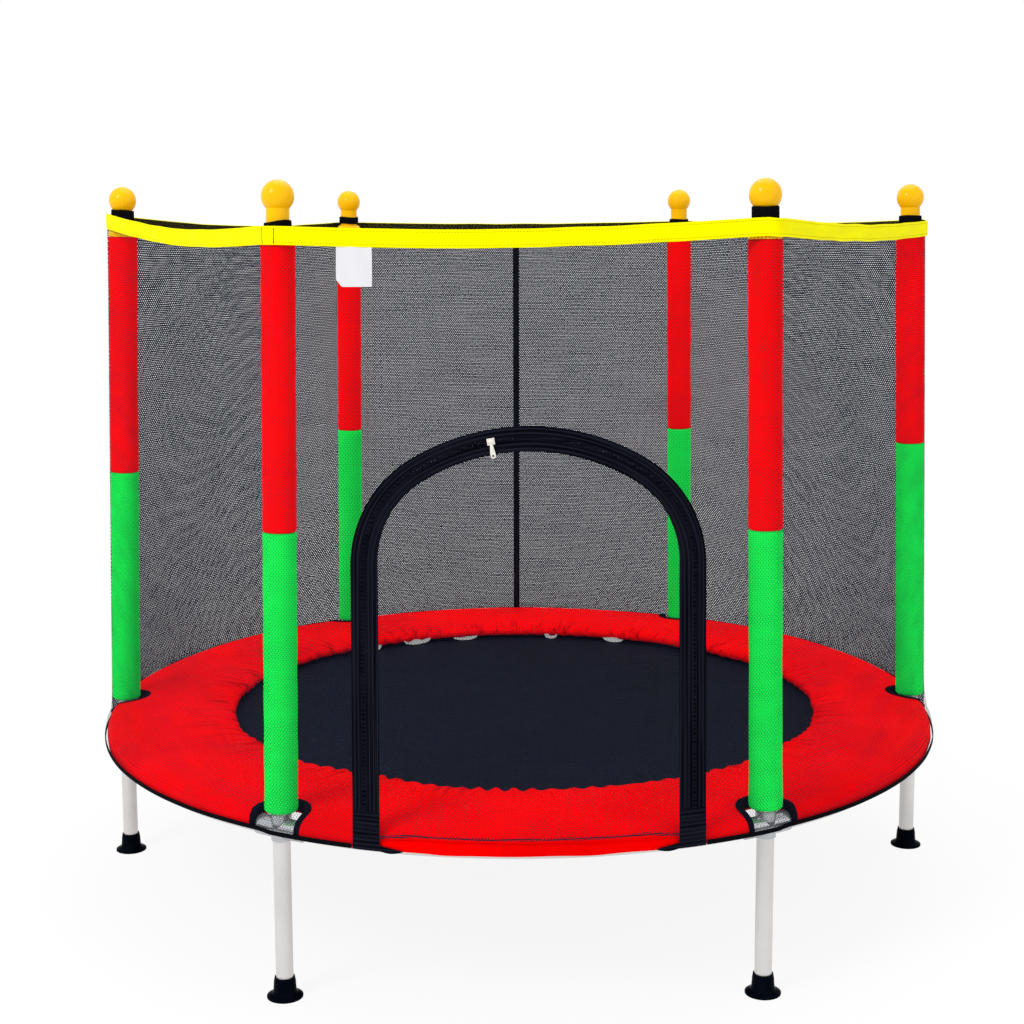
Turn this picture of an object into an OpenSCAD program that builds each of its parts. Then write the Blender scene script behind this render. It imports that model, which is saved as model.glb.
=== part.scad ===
// Kids' trampoline with a zipped enclosure net, six legs and six padded poles.
// Millimetres, +Z up. Origin on the floor under the centre of the round frame.
// The door is on the -Y side. Pole 1 is front left, and the numbers run anticlockwise seen from above.

/* [Frame] */
// Radius of the round frame, to the middle of its tube
ring_r = 684; // [640:1:740]
// Height of the round frame's tube above the floor
ring_z = 250; // [220:1:300]
// Outside diameter of every steel tube
tube_d = 25; // [22:0.5:28]
// Wall of every steel tube
tube_wall = 1.2; // [1:0.1:1.6]
// Length of each frame joint, measured along the ring
joint_len = 76; // [64:1:80]
// Wall of the frame joints
joint_wall = 2.1; // [1.6:0.1:3]
// Length of the spigots that hold the legs and the poles
spigot_len = 50; // [35:1:60]
// Shank diameter of the joint screws
screw_d = 5; // [4:0.5:6]

/* [Feet] */
// Diameter of a rubber foot on the floor
foot_d = 52; // [44:1:60]
// Height of a rubber foot
foot_h = 30; // [26:1:40]

/* [Poles] */
// Length of a pole, from the ring's middle to the shoulder of its cap
pole_len = 822; // [760:1:900]
// Inward lean of the poles, in degrees
pole_lean = 1.5; // [0.5:0.1:2]
// Outside diameter of the foam sleeves
foam_d = 48; // [42:1:54]
// Height of the foam's lower end above the ring's middle
foam_start = 26; // [24:1:34]
// Height of the colour change above the ring's middle
colour_change = 423; // [360:1:500]
// How much higher the colour change sits on the pole at the right
odd_change = 44; // [0:1:60]
// Diameter of the ball on a pole cap
ball_d = 45; // [40:1:50]
// Height of the ball's middle above the cap's shoulder
ball_rise = 60; // [56:1:70]

/* [Mat and springs] */
// Gap between the mat's edge and the middle of the ring tube, which the springs span
spring_gap = 124; // [110:1:140]
// Thickness of the mat
mat_t = 1.4; // [1:0.1:2]
// Number of springs, a multiple of six
spring_count = 36; // [24:6:36]
// Outside diameter of a spring
spring_d = 13; // [10:0.5:15]
// Wire of the springs
spring_wire = 2.6; // [2:0.1:3]
// Wire of the mat's rings
ring_wire = 3; // [2.5:0.1:3.2]

/* [Safety pad] */
// How far the pad reaches in over the mat's edge
pad_lap = 62; // [50:1:80]
// Height of the pad's crown above its underside
pad_crown = 16; // [12:1:22]
// How far the pad's skirt hangs below the top of the frame tube
pad_skirt = 15; // [11:0.5:20]
// Gathers round the pad's inner edge
gathers = 36; // [18:18:36]
// Half width of the gaps that leave room for the poles
window_half = 43; // [41:0.5:48]

/* [Net] */
// Thickness of the net
net_t = 1; // [0.8:0.1:1.2]
// Height of the net's lower edge below the ring's middle
net_drop = 2; // [0:0.5:8]
// Height of the yellow band
band_h = 24.5; // [22:0.5:36]
// Height of the band's top edge above the cap's shoulder
band_rise = 20; // [14:1:24]
// Height of the hem at the net's foot
hem_h = 9; // [7:1:14]

/* [Door] */
// Half width of the door, to the middle of the zip
door_half = 225; // [200:1:240]
// Sideways place of the door's middle
door_x = 7; // [-10:1:15]
// Height of the zip's crown above the ring's middle
door_top = 558; // [500:1:600]
// Radius of the zip's crown
crown_r = 290; // [260:5:330]
// Radius of the zip's two shoulders
shoulder_r = 155; // [130:5:180]
// Full width of the closed zip tape
tape_w = 33; // [28:1:38]
// Angle of the slider from the crown, in degrees
slider_at = -10; // [-20:1:20]
// Length of the zip pull
pull_len = 23; // [18:1:28]

/* [Hidden] */
// Gap kept between soft pieces and what they lie on
seat = 0.3;
// Radial clearance of a tube on its spigot or in its joint
fit = 0.1;
poles = 6;
sector = 360 / poles;
tube_r = tube_d / 2;
tube_bore_r = tube_r - tube_wall;
spigot_r = tube_bore_r - fit;
sleeve_bore_r = tube_r + fit;
sleeve_r = sleeve_bore_r + joint_wall;
collar_h = sleeve_r + 7;
leg_collar_h = sleeve_r + 1.5;
end_gap = 1;
foot_floor = 6;
foot_lip_h = 2.2;
foot_wall = 3.2;

cap_stem_r = 16;
cap_wall = cap_stem_r - tube_r - fit;
cap_stem = ball_rise - 14;
cap_flange_h = 14;
loop_h = 13;
loop_t = 2.6;
loop_tab_w = 6;
loop_tab_t = 1.4;

mat_r = ring_r - spring_gap;
spring_pitch = 360 / spring_count;
spring_angle = spring_pitch / 2;
spring_hole_r = spring_wire / 2 + 0.7;
hook_in = ring_r - tube_bore_r + 4;
web_lap = 28;
web_t = 1.5;
tab_half = 7.5;
ring_bar_x = mat_r + 7;
ring_bow_r = 11;
ring_tip_x = ring_bar_x + ring_bow_r;
coil_start = ring_tip_x + 8;
coil_end = ring_r - tube_r - 12;

pad_inner_r = mat_r - pad_lap;
pad_outer_r = ring_r + tube_r + 9.8;
pad_z = ring_z + tube_r + seat;
window_x = ring_r + 7;
window_depth = 36;
binding_t = 2;
binding_h = 9;

pole_top_z = ring_z + pole_len * cos(pole_lean);
band_z = pole_top_z + band_rise - band_h;
band_lap = 4.5;
net_z0 = ring_z - net_drop;
net_z1 = band_z + band_lap;
net_bend_z = pad_z + 5;
net_foot_r = pad_outer_r + 2;
function pole_r_at(z) = ring_r - (z - ring_z) * tan(pole_lean);
corner_r = foam_d / 2 + seat + net_t / 2 + 0.2;
net_pole_r = pole_r_at(net_z1);
net_apothem = net_pole_r * cos(sector / 2) + corner_r;
corner_half = atan2(corner_r * sin(sector / 2), net_pole_r + corner_r * cos(sector / 2));
net_slope = (net_foot_r - net_apothem) / (net_z1 - net_bend_z);
band_inner_r = corner_r + net_t / 2 + seat + band_lap * net_slope;
band_t = 1.8;
tape_t = 1.2;
tape_in = net_t / 2 + seat;
tape_out = tape_in + tape_t;
bead_out = tape_out + 1.6;
bead_w = 2.1;
zip_gap = 0.5;
net_lap = 6;
// How the side and back sheets hang: 1 is straight from foot to top, less is drawn in above the rim
side_hang = 0.5;
// Half of the slit between two pieces of net, as an angle round the frame
seam = 0.03;

door_top_z = ring_z + door_top;
crown_z = door_top_z - crown_r;
shoulder_x = door_half - shoulder_r;
shoulder_rise = sqrt(pow(crown_r - shoulder_r, 2) - pow(shoulder_x, 2));
spring_line_z = crown_z + shoulder_rise;
shoulder_angle = asin(shoulder_x / (crown_r - shoulder_r));
patch_z = ring_z + 52;
flap_foot_z = ring_z + 14;
flap_hem_h = 6;
flap_inner = tape_w / 2 + 1;

slider_len = 10.5;
slider_half = 4.5;
slider_wall = 1;
slider_plate = 1.6;
slider_y = bead_out + seat;
bail_y = slider_y + slider_plate + 2.5;
bail_half = 4;
bail_r = 0.8;
pull_w = 7;
pull_t = 1.3;
pull_fit = 0.08;
eye_r = 2.1;

pole_names = [for (name = ["ring_tube", "tee_joint", "leg", "pole", "foam_lower", "foam_upper", "pole_cap"])
    for (i = [1:poles]) str(name, "_", i)];
$fn = 48;

// ---- Placing ----

// Angle of pole i round the frame
function pole_angle(i) = -180 + sector * i;

// Local frame of pole i: +X points outward, at the frame's centre
module at_pole(i) {
    rotate([0, 0, pole_angle(i)])
        children();
}

// Local frame along pole i: origin at the ring's middle, +Z up the leaning pole
module along_pole(i) {
    at_pole(i)
        translate([ring_r, 0, ring_z])
            rotate([0, -pole_lean, 0])
                children();
}

// Straight round rod between two points
module rod(a, b, r) {
    d = b - a;
    flat = norm([d.x, d.y]);
    translate(a)
        rotate([0, atan2(flat, d.z), atan2(d.y, d.x)])
            cylinder(r = r, h = norm(d), $fn = 24);
}

// Bent wire through a list of points
module wire(points, r) {
    for (k = [0:len(points) - 2])
        rod(points[k], points[k + 1], r);
    for (k = [1:len(points) - 2])
        translate(points[k])
            sphere(r = r, $fn = 24);
}

// Stretch of round bar bent to the ring's circle
module ring_arc(r, from, sweep) {
    translate([0, 0, ring_z])
        rotate([0, 0, from])
            rotate_extrude(angle = sweep, $fn = 180)
                translate([ring_r, 0])
                    circle(r = r);
}

// Both screws of the joint on pole i, from the ring's inner side
module at_screws(i) {
    for (side = [-1, 1])
        rotate([0, 0, pole_angle(i) + side * (joint_len / 2 - 12) / ring_r * 180 / PI])
            translate([ring_r - sleeve_r, 0, ring_z])
                rotate([0, 90, 0])
                    children();
}

// ---- Steel frame ----

module ring_tube(i) {
    gap_angle = end_gap / ring_r * 180 / PI;
    color("silver")
        difference() {
            ring_arc(tube_r, pole_angle(i) + gap_angle, sector - 2 * gap_angle);
            ring_arc(tube_bore_r, pole_angle(i), sector);
            for (k = [0:spring_count / poles - 1])
                rotate([0, 0, pole_angle(i) + spring_angle + k * spring_pitch])
                    translate([ring_r - tube_r - 2, 0, ring_z])
                        rotate([0, 90, 0])
                            cylinder(r = spring_hole_r, h = tube_wall + 4);
            for (k = [i, i + 1])
                at_screws(k)
                    cylinder(d = screw_d + 2 * fit, h = sleeve_r - 2);
        }
}

module tee_joint(i) {
    half_angle = joint_len / 2 / ring_r * 180 / PI;
    color("gainsboro")
        difference() {
            union() {
                ring_arc(sleeve_r, pole_angle(i) - half_angle, 2 * half_angle);
                at_pole(i)
                    translate([ring_r, 0, ring_z - leg_collar_h])
                        cylinder(r = sleeve_r, h = leg_collar_h);
                at_pole(i)
                    translate([ring_r, 0, ring_z - leg_collar_h - spigot_len])
                        cylinder(r = spigot_r, h = spigot_len + 1);
                along_pole(i)
                    cylinder(r = sleeve_r, h = collar_h);
                along_pole(i)
                    translate([0, 0, collar_h - 1])
                        cylinder(r = spigot_r, h = spigot_len + 1);
            }
            ring_arc(sleeve_bore_r, pole_angle(i) - 2 * half_angle, 4 * half_angle);
            at_screws(i)
                cylinder(d = screw_d + 2 * fit, h = sleeve_r, center = true);
        }
}

module leg(i) {
    top = ring_z - leg_collar_h;
    color("silver")
        at_pole(i)
            translate([ring_r, 0, foot_floor])
                difference() {
                    cylinder(r = tube_r, h = top - foot_floor);
                    translate([0, 0, -1])
                        cylinder(r = tube_bore_r, h = top - foot_floor + 2);
                }
}

module foot_profile() {
    lip = foot_d / 2;
    sock = tube_r + foot_wall;
    polygon([[0, 0], [lip, 0], [lip, foot_lip_h], [lip - 2.5, foot_lip_h + 1.6],
        [sock + 3, foot_floor], [sock + 1, foot_floor + 4], [sock, foot_h - 6],
        [sock - 1.2, foot_h], [tube_r + fit, foot_h], [tube_r + fit, foot_floor], [0, foot_floor]]);
}

module feet() {
    color([0.05, 0.06, 0.09])
        for (i = [1:poles])
            at_pole(i)
                translate([ring_r, 0, 0])
                    rotate_extrude()
                        foot_profile();
}

module joint_screws() {
    head_r = screw_d * 0.95;
    head_h = 3;
    color("dimgray")
        for (i = [1:poles])
            at_screws(i)
                difference() {
                    union() {
                        translate([0, 0, -1])
                            cylinder(d = screw_d, h = joint_wall + tube_wall + 4);
                        translate([0, 0, -head_h - fit])
                            cylinder(r1 = head_r * 0.7, r2 = head_r, h = head_h);
                    }
                    translate([0, 0, -head_h - 1])
                        cylinder(r = screw_d / 3.5, h = head_h, $fn = 6);
                }
}

// ---- Poles ----

module pole(i) {
    top = pole_len + cap_stem - 6;
    color("silver")
        along_pole(i)
            translate([0, 0, collar_h])
                difference() {
                    cylinder(r = tube_r, h = top - collar_h);
                    translate([0, 0, -1])
                        cylinder(r = tube_bore_r, h = top - collar_h + 2);
                }
}

function change_at(i) = colour_change + (i == 3 ? odd_change : 0);

// Foam tube on pole i between two heights, bored out where it covers the joint's collar
module foam(i, from, to) {
    along_pole(i)
        difference() {
            translate([0, 0, from])
                cylinder(d = foam_d, h = to - from);
            cylinder(r = tube_r + seat, h = to + 1);
            cylinder(r = sleeve_r + seat, h = collar_h + seat);
        }
}

module foam_lower(i) {
    color([0.1, 0.85, 0.3])
        foam(i, foam_start, change_at(i));
}

module foam_upper(i) {
    color([0.96, 0.06, 0.04])
        foam(i, change_at(i), pole_len);
}

// Outline of a pole cap from its shoulder up: domed flange, stem and ball
module cap_profile() {
    inner = tube_r + fit;
    flange_r = foam_d / 2;
    land_r = cap_stem_r + seat + loop_t + 0.1;
    union() {
        polygon([[inner, 0], [flange_r, 0], [flange_r, cap_flange_h * 0.35], [flange_r - 0.7, cap_flange_h * 0.62],
            [flange_r - 2.4, cap_flange_h * 0.85], [land_r, cap_flange_h], [inner, cap_flange_h]]);
        translate([inner, 0])
            square([cap_wall, cap_stem]);
        translate([0, cap_stem - 5])
            square([cap_stem_r, 5]);
        intersection() {
            translate([0, ball_rise])
                circle(d = ball_d);
            translate([0, cap_stem - 4])
                square([ball_d, ball_d * 2]);
        }
    }
}

module pole_cap(i) {
    color([1, 0.78, 0.05])
        along_pole(i)
            translate([0, 0, pole_len])
                rotate_extrude()
                    cap_profile();
}

// Elastic loop round each cap's stem, with the tab that runs out to the band
module elastic_loops() {
    stem = cap_stem_r + seat;
    loop_z = cap_flange_h + seat;
    out = band_inner_r + pole_r_at(band_z) - pole_r_at(pole_top_z + loop_z) - seat;
    color([0.07, 0.07, 0.08])
        for (i = [1:poles])
            along_pole(i)
                translate([0, 0, pole_len + loop_z])
                    difference() {
                        union() {
                            cylinder(r = stem + loop_t, h = loop_h);
                            translate([0, -loop_tab_w / 2, 0])
                                cube([out, loop_tab_w, loop_tab_t]);
                        }
                        translate([0, 0, -1])
                            cylinder(r = stem, h = loop_h + 2);
                    }
}

// ---- Mat and springs ----

// Spread what is drawn along +X to every spring's place
module at_springs() {
    for (k = [0:spring_count - 1])
        rotate([0, 0, spring_angle + k * spring_pitch])
            translate([0, 0, ring_z])
                children();
}

module springs() {
    coil_r = spring_d / 2;
    w = spring_wire / 2;
    over = ring_wire / 2 + w + 0.6;
    catch_x = ring_tip_x - 4.2;
    color("lightgray")
        at_springs()
            union() {
                difference() {
                    translate([coil_start, 0, 0])
                        rotate([0, 90, 0])
                            cylinder(r = coil_r, h = coil_end - coil_start);
                    translate([coil_start + spring_wire, 0, 0])
                        rotate([0, 90, 0])
                            cylinder(r = coil_r - spring_wire, h = coil_end - coil_start - 2 * spring_wire);
                }
                wire([[coil_end - 1, 0, 0], [hook_in, 0, 0], [hook_in, 0, -5]], w);
                wire([[coil_start + 1, 0, over], [catch_x, 0, over], [catch_x, 0, -2]], w);
            }
}

module mat() {
    color([0.09, 0.11, 0.15])
        translate([0, 0, ring_z - mat_t / 2])
            cylinder(r = mat_r, h = mat_t, $fn = 180);
}

// D-rings lying flat: a straight bar in the webbing, and a bow that the spring hooks over
module mat_rings() {
    bar_half = ring_bow_r + ring_wire / 2 + 0.3;
    color("silver")
        at_springs()
            union() {
                rod([ring_bar_x, -bar_half, 0], [ring_bar_x, bar_half, 0], ring_wire / 2);
                translate([ring_bar_x, 0, 0])
                    rotate([0, 0, -90])
                        rotate_extrude(angle = 180, $fn = 36)
                            translate([ring_bow_r, 0])
                                circle(r = ring_wire / 2 - 0.1, $fn = 24);
            }
}

// Webbing folded round the mat's edge, with a tab sewn round each ring
module mat_webbing() {
    outer = mat_r + seat + web_t;
    tab_t = ring_wire / 2 + web_t + 0.2;
    color([0.12, 0.12, 0.14])
        difference() {
            union() {
                translate([0, 0, ring_z])
                    rotate_extrude($fn = 180)
                        difference() {
                            translate([mat_r - web_lap, -mat_t / 2 - web_t])
                                square([outer - mat_r + web_lap, mat_t + 2 * web_t]);
                            translate([mat_r - web_lap - 1, -mat_t / 2])
                                square([web_lap + 1 + seat, mat_t]);
                        }
                at_springs()
                    translate([outer - 1, -tab_half, -tab_t])
                        cube([ring_bar_x + tab_t - outer + 1, 2 * tab_half, 2 * tab_t]);
            }
            at_springs()
                rod([ring_bar_x, -ring_bow_r, 0], [ring_bar_x, ring_bow_r, 0], ring_wire / 2 + fit);
        }
}

// ---- Safety pad ----

// Section of the pad as radius and height above its underside, with the gathers' share of each point
function pad_section() = [
    [pad_inner_r + 4, -6, 1], [ring_r - tube_r, 0, 0], [ring_r + tube_r, 0, 0],
    [pad_outer_r - 3.4, -6, 0], [pad_outer_r - 3, -pad_skirt, 0], [pad_outer_r, -pad_skirt, 0],
    [pad_outer_r, -2, 0], [pad_outer_r - 5, 6, 0], [ring_r - 24, pad_crown - 2, 0],
    [ring_r - 104, pad_crown, 0.2], [pad_inner_r + 22, pad_crown * 0.65, 0.6], [pad_inner_r, 1, 1]];

// Closed ring swept round Z from a section of [r, z, gather] rows
module swept_ring(section, steps, lobes, depth) {
    n = len(section);
    points = [for (s = [0:steps - 1]) for (p = section)
        let (a = s * 360 / steps)
        let (r = p[0] + depth * p[2] * cos(lobes * a))
        [r * cos(a), r * sin(a), p[1] + depth * 0.5 * p[2] * cos(lobes * a)]];
    faces = [for (s = [0:steps - 1]) for (k = [0:n - 1])
        let (s2 = (s + 1) % steps)
        let (k2 = (k + 1) % n)
        each [[s * n + k, s * n + k2, s2 * n + k], [s2 * n + k, s * n + k2, s2 * n + k2]]];
    polyhedron(points, faces, convexity = 6);
}

// Outline of the gap round a pole, open at the rim
module window_outline(half) {
    translate([window_x, 0])
        circle(r = half);
    translate([window_x, -half])
        square([window_depth, 2 * half]);
}

module safety_pad() {
    color([0.93, 0.04, 0.03])
        difference() {
            translate([0, 0, pad_z])
                swept_ring(pad_section(), 2 * gathers, gathers, 2.2);
            for (i = [1:poles])
                at_pole(i)
                    translate([0, 0, pad_z - 30])
                        linear_extrude(60)
                            window_outline(window_half);
        }
}

// Black tape sewn round each gap in the pad
module pad_bindings() {
    color([0.06, 0.06, 0.08])
        for (i = [1:poles])
            at_pole(i)
                translate([0, 0, pad_z])
                    linear_extrude(binding_h)
                        intersection() {
                            difference() {
                                window_outline(window_half - seat);
                                window_outline(window_half - seat - binding_t);
                            }
                            circle(r = pad_outer_r - 0.5, $fn = 180);
                        }
}

// ---- Net ----

// Radius of the taut top edge at an angle: straight between poles and round each pole's foam
function top_r(a) =
    let (d = abs(a - sector * round(a / sector)))
    d <= corner_half
        ? net_pole_r * cos(d) + sqrt(pow(corner_r, 2) - pow(net_pole_r * sin(d), 2))
        : net_apothem / cos(sector / 2 - d);

// Share of the way from the round foot to the six-sided top. Below the pad's edge the net hangs straight.
function rise_share(z) = max(0, z - net_bend_z) / (net_z1 - net_bend_z);

// Radius of the net's middle surface at an angle and a height. A hang below 1 draws the net in between the poles.
function net_r(a, z, hang = 1) =
    let (s = rise_share(z), at_pole_r = net_pole_r + corner_r)
    net_foot_r + (at_pole_r - net_foot_r) * s - (at_pole_r - top_r(a)) * pow(s, hang);

// Angles of the net's columns across one sector, closer together at the poles
function column_angles(from = seam, to = sector - seam) = concat([from],
    [for (d = [0.5, corner_half, 3, 7, 12, 18, 24, 30, 36, 42, 48, 53, 57, sector - corner_half, 59.5])
        if (d > from + 0.2 && d < to - 0.2) d],
    [to]);

// Sheet of net over some columns of a sector, standing inner to outer from the middle surface
module net_sheet(start, columns, inner = -net_t / 2, outer = net_t / 2, hang = 1) {
    cols = len(columns);
    shares = hang == 1 ? [0, 1 / 3, 2 / 3, 1] : [0, 0.012, 0.04, 0.1, 0.2, 0.36, 0.6, 1];
    heights = concat([net_z0], [for (s = shares) net_bend_z + (net_z1 - net_bend_z) * s]);
    rows = len(heights) - 1;
    side = cols * (rows + 1);
    points = [for (off = [inner, outer]) for (z = heights) for (c = columns)
        let (r = net_r(start + c, z, hang) + off)
        [r * cos(start + c), r * sin(start + c), z]];
    function at(layer, row, col) = layer * side + row * cols + col;
    faces = concat(
        [for (j = [0:rows - 1]) for (k = [0:cols - 2])
            each [[at(0, j, k), at(0, j, k + 1), at(0, j + 1, k + 1)],
                [at(0, j, k), at(0, j + 1, k + 1), at(0, j + 1, k)],
                [at(1, j, k), at(1, j + 1, k + 1), at(1, j, k + 1)],
                [at(1, j, k), at(1, j + 1, k), at(1, j + 1, k + 1)]]],
        [for (k = [0:cols - 2])
            each [[at(0, 0, k), at(1, 0, k), at(1, 0, k + 1)],
                [at(0, 0, k), at(1, 0, k + 1), at(0, 0, k + 1)],
                [at(0, rows, k), at(1, rows, k + 1), at(1, rows, k)],
                [at(0, rows, k), at(0, rows, k + 1), at(1, rows, k + 1)]]],
        [for (j = [0:rows - 1])
            each [[at(0, j, 0), at(0, j + 1, 0), at(1, j + 1, 0)],
                [at(0, j, 0), at(1, j + 1, 0), at(1, j, 0)],
                [at(0, j, cols - 1), at(1, j, cols - 1), at(1, j + 1, cols - 1)],
                [at(0, j, cols - 1), at(1, j + 1, cols - 1), at(0, j + 1, cols - 1)]]]);
    polyhedron(points, faces, convexity = 4);
}

module net_panels() {
    color([0.3, 0.3, 0.33, 0.5]) {
        for (i = [2, 3, 5, 6])
            net_sheet(pole_angle(i), column_angles(), hang = side_hang);
        net_sheet(pole_angle(4), column_angles(to = sector / 2 - seam), hang = side_hang);
        net_sheet(pole_angle(4), column_angles(from = sector / 2 + seam), hang = side_hang);
    }
}

// Front stretch of a layer of net or tape
module front_sheet(inner, outer) {
    net_sheet(pole_angle(1), column_angles(), inner, outer);
}

// Arch outline, grown outward or inward from the middle of the zip, standing on a height
module arch_outline(grow, foot_z) {
    half = door_half + grow;
    union() {
        translate([door_x - half, foot_z])
            square([2 * half, spring_line_z - foot_z]);
        for (side = [-1, 1])
            intersection() {
                translate([door_x + side * shoulder_x, spring_line_z])
                    circle(r = shoulder_r + grow, $fn = 72);
                translate([door_x, spring_line_z])
                    polygon([[0, 0], [side * 2 * half, 0], [side * 2 * half, 2 * half], [0, 2 * half]]);
            }
        intersection() {
            translate([door_x, crown_z])
                circle(r = crown_r + grow, $fn = 120);
            translate([door_x, crown_z])
                polygon([[0, 0], [-tan(shoulder_angle) * 2 * half, 2 * half],
                    [tan(shoulder_angle) * 2 * half, 2 * half]]);
        }
        translate([door_x - shoulder_x, spring_line_z - 1])
            square([2 * shoulder_x, shoulder_r * cos(shoulder_angle) + 1]);
    }
}

// Cut through the front of the net in the shape of a flat outline
module through_front() {
    rotate([90, 0, 0])
        linear_extrude(height = 2 * ring_r)
            children();
}

module net_door_panel() {
    color([0.3, 0.3, 0.33, 0.5])
        difference() {
            front_sheet(-net_t / 2, net_t / 2);
            through_front()
                arch_outline(net_lap, net_z0 - 10);
        }
}

module door_flap() {
    color([0.3, 0.3, 0.33, 0.5])
        intersection() {
            front_sheet(-net_t / 2, net_t / 2);
            through_front()
                union() {
                    arch_outline(-net_lap, patch_z + 1);
                    translate([door_x - door_half + flap_inner, flap_foot_z])
                        square([2 * (door_half - flap_inner), patch_z + 2 - flap_foot_z]);
                }
        }
}

// Strip along the zip, between two distances from its middle
module zip_strip(inner, outer, foot_z) {
    difference() {
        arch_outline(outer, foot_z);
        arch_outline(inner, foot_z - 10);
    }
}

// Tape on the net's side of the zip: its row of teeth, and the two patches at the zip's ends
module zip_tape_fixed() {
    color([0.06, 0.06, 0.09])
        union() {
            intersection() {
                front_sheet(tape_in, tape_out);
                through_front()
                    union() {
                        zip_strip(zip_gap, tape_w / 2, net_z0);
                        for (side = [-1, 1])
                            translate([door_x + side * door_half - tape_w / 2, net_z0])
                                square([tape_w, patch_z - net_z0]);
                    }
            }
            intersection() {
                front_sheet(tape_out - 0.4, bead_out);
                through_front()
                    zip_strip(zip_gap, zip_gap + bead_w, patch_z + 1);
            }
        }
}

// Tape on the flap's side of the zip, with its row of teeth, and the hem at the flap's foot
module zip_tape_flap() {
    color([0.06, 0.06, 0.09])
        union() {
            intersection() {
                front_sheet(tape_in, tape_out);
                through_front()
                    union() {
                        zip_strip(-tape_w / 2, -zip_gap, patch_z + 1);
                        translate([door_x - door_half + flap_inner, flap_foot_z])
                            square([2 * (door_half - flap_inner), flap_hem_h]);
                    }
            }
            intersection() {
                front_sheet(tape_out - 0.4, bead_out);
                through_front()
                    zip_strip(-zip_gap - bead_w, -zip_gap, patch_z + 1);
            }
        }
}

// Hem round the net's foot, from one zip patch round the back to the other
module net_hem() {
    from = -90 + asin((door_x + door_half + tape_w / 2 + 2) / net_foot_r);
    to = 270 + asin((door_x - door_half - tape_w / 2 - 2) / net_foot_r);
    color([0.06, 0.06, 0.08])
        rotate([0, 0, from])
            rotate_extrude(angle = to - from, $fn = 180)
                translate([net_foot_r + tape_in, net_z0])
                    square([tape_t, hem_h]);
}

// Six-sided outline with rounded corners round the poles
module band_outline(corner) {
    offset(r = corner)
        circle(r = pole_r_at(band_z), $fn = poles);
}

module top_band() {
    color([1, 0.98, 0.02])
        translate([0, 0, band_z])
            linear_extrude(band_h)
                difference() {
                    band_outline(band_inner_r + band_t);
                    band_outline(band_inner_r);
                }
}

// ---- Zip slider and pull ----

// Angle round the frame at which the net at height z has a given x, found by repeated correction
function front_angle(x, z, guess = -90, left = 6) =
    left == 0 ? guess
        : front_angle(x, z, guess + (x / net_r(guess, z) - cos(guess)) * 180 / PI, left - 1);

// Depth of the net's middle surface at the front
function front_y(x, z) = let (a = front_angle(x, z)) net_r(a, z) * sin(a);

slider_x = door_x + crown_r * sin(slider_at);
slider_z = crown_z + crown_r * cos(slider_at);
slider_pitch = atan2(front_y(slider_x, slider_z + 10) - front_y(slider_x, slider_z - 10), 20);
slider_yaw = atan2(front_y(slider_x + 10, slider_z) - front_y(slider_x - 10, slider_z), 20);

// Local frame of the slider: +X along the zip, -Y away from the net
module at_slider() {
    translate([slider_x, front_y(slider_x, slider_z), slider_z])
        rotate([-slider_pitch, 0, slider_yaw])
            rotate([0, slider_at, 0])
                children();
}

module zip_slider() {
    flange_foot = tape_out + seat;
    flange_top = slider_y + 1;
    color([0.93, 0.9, 0.75])
        at_slider()
            union() {
                translate([-slider_len / 2, -slider_y - slider_plate, -slider_half])
                    cube([slider_len, slider_plate, 2 * slider_half]);
                for (side = [-1, 1])
                    translate([0, -(flange_top + flange_foot) / 2, side * (slider_half - slider_wall / 2)])
                        cube([slider_len, flange_top - flange_foot, slider_wall], center = true);
                for (side = [-1, 1])
                    rod([side * bail_half, -bail_y, 0], [side * bail_half, -slider_y - 1, 0], bail_r);
                rod([-bail_half, -bail_y, 0], [bail_half, -bail_y, 0], bail_r);
                for (side = [-1, 1])
                    translate([side * bail_half, -bail_y, 0])
                        sphere(r = bail_r, $fn = 24);
            }
}

// Flat pull seen from the front: narrow below its eye, wider down to a pointed end
module pull_outline() {
    neck = pull_w * 0.3;
    tip = pull_w / 2;
    polygon([[neck, -1], [neck, -6], [pull_w * 0.34, -8], [tip, pull_w - pull_len], [tip, 2 - pull_len],
        [tip * 0.4, -pull_len], [-tip * 0.4, -pull_len], [-tip, 2 - pull_len], [-tip, pull_w - pull_len],
        [-pull_w * 0.34, -8], [-neck, -6], [-neck, -1]]);
}

module zip_pull() {
    eye_half = bail_half - bail_r - 0.25;
    color([0.95, 0.92, 0.78])
        at_slider()
            translate([0, -bail_y, 0])
                difference() {
                    union() {
                        rod([-eye_half, 0, 0], [eye_half, 0, 0], eye_r);
                        translate([0, pull_t / 2, 0])
                            rotate([90, 0, 0])
                                linear_extrude(pull_t)
                                    pull_outline();
                    }
                    rod([-bail_half, 0, 0], [bail_half, 0, 0], bail_r + pull_fit);
                    translate([0, pull_t, pull_w / 2 - pull_len])
                        rotate([90, 0, 0])
                            cylinder(d = pull_w * 0.5, h = 2 * pull_t);
                }
}

for (i = [1:poles]) {
    ring_tube(i);
    tee_joint(i);
    leg(i);
    pole(i);
    foam_lower(i);
    foam_upper(i);
    pole_cap(i);
}
feet();
joint_screws();
elastic_loops();
springs();
mat();
mat_webbing();
mat_rings();
safety_pad();
pad_bindings();
net_panels();
net_door_panel();
net_hem();
top_band();
zip_tape_fixed();
door_flap();
zip_tape_flap();
zip_slider();
zip_pull();
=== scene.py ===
"""Children's trampoline with a zipped enclosure net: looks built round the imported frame. Metres, +Z up."""

import math

import bpy
import numpy as np
from bpy.props import FloatProperty, FloatVectorProperty, IntProperty, PointerProperty
from mathutils import Matrix, Vector


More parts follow.
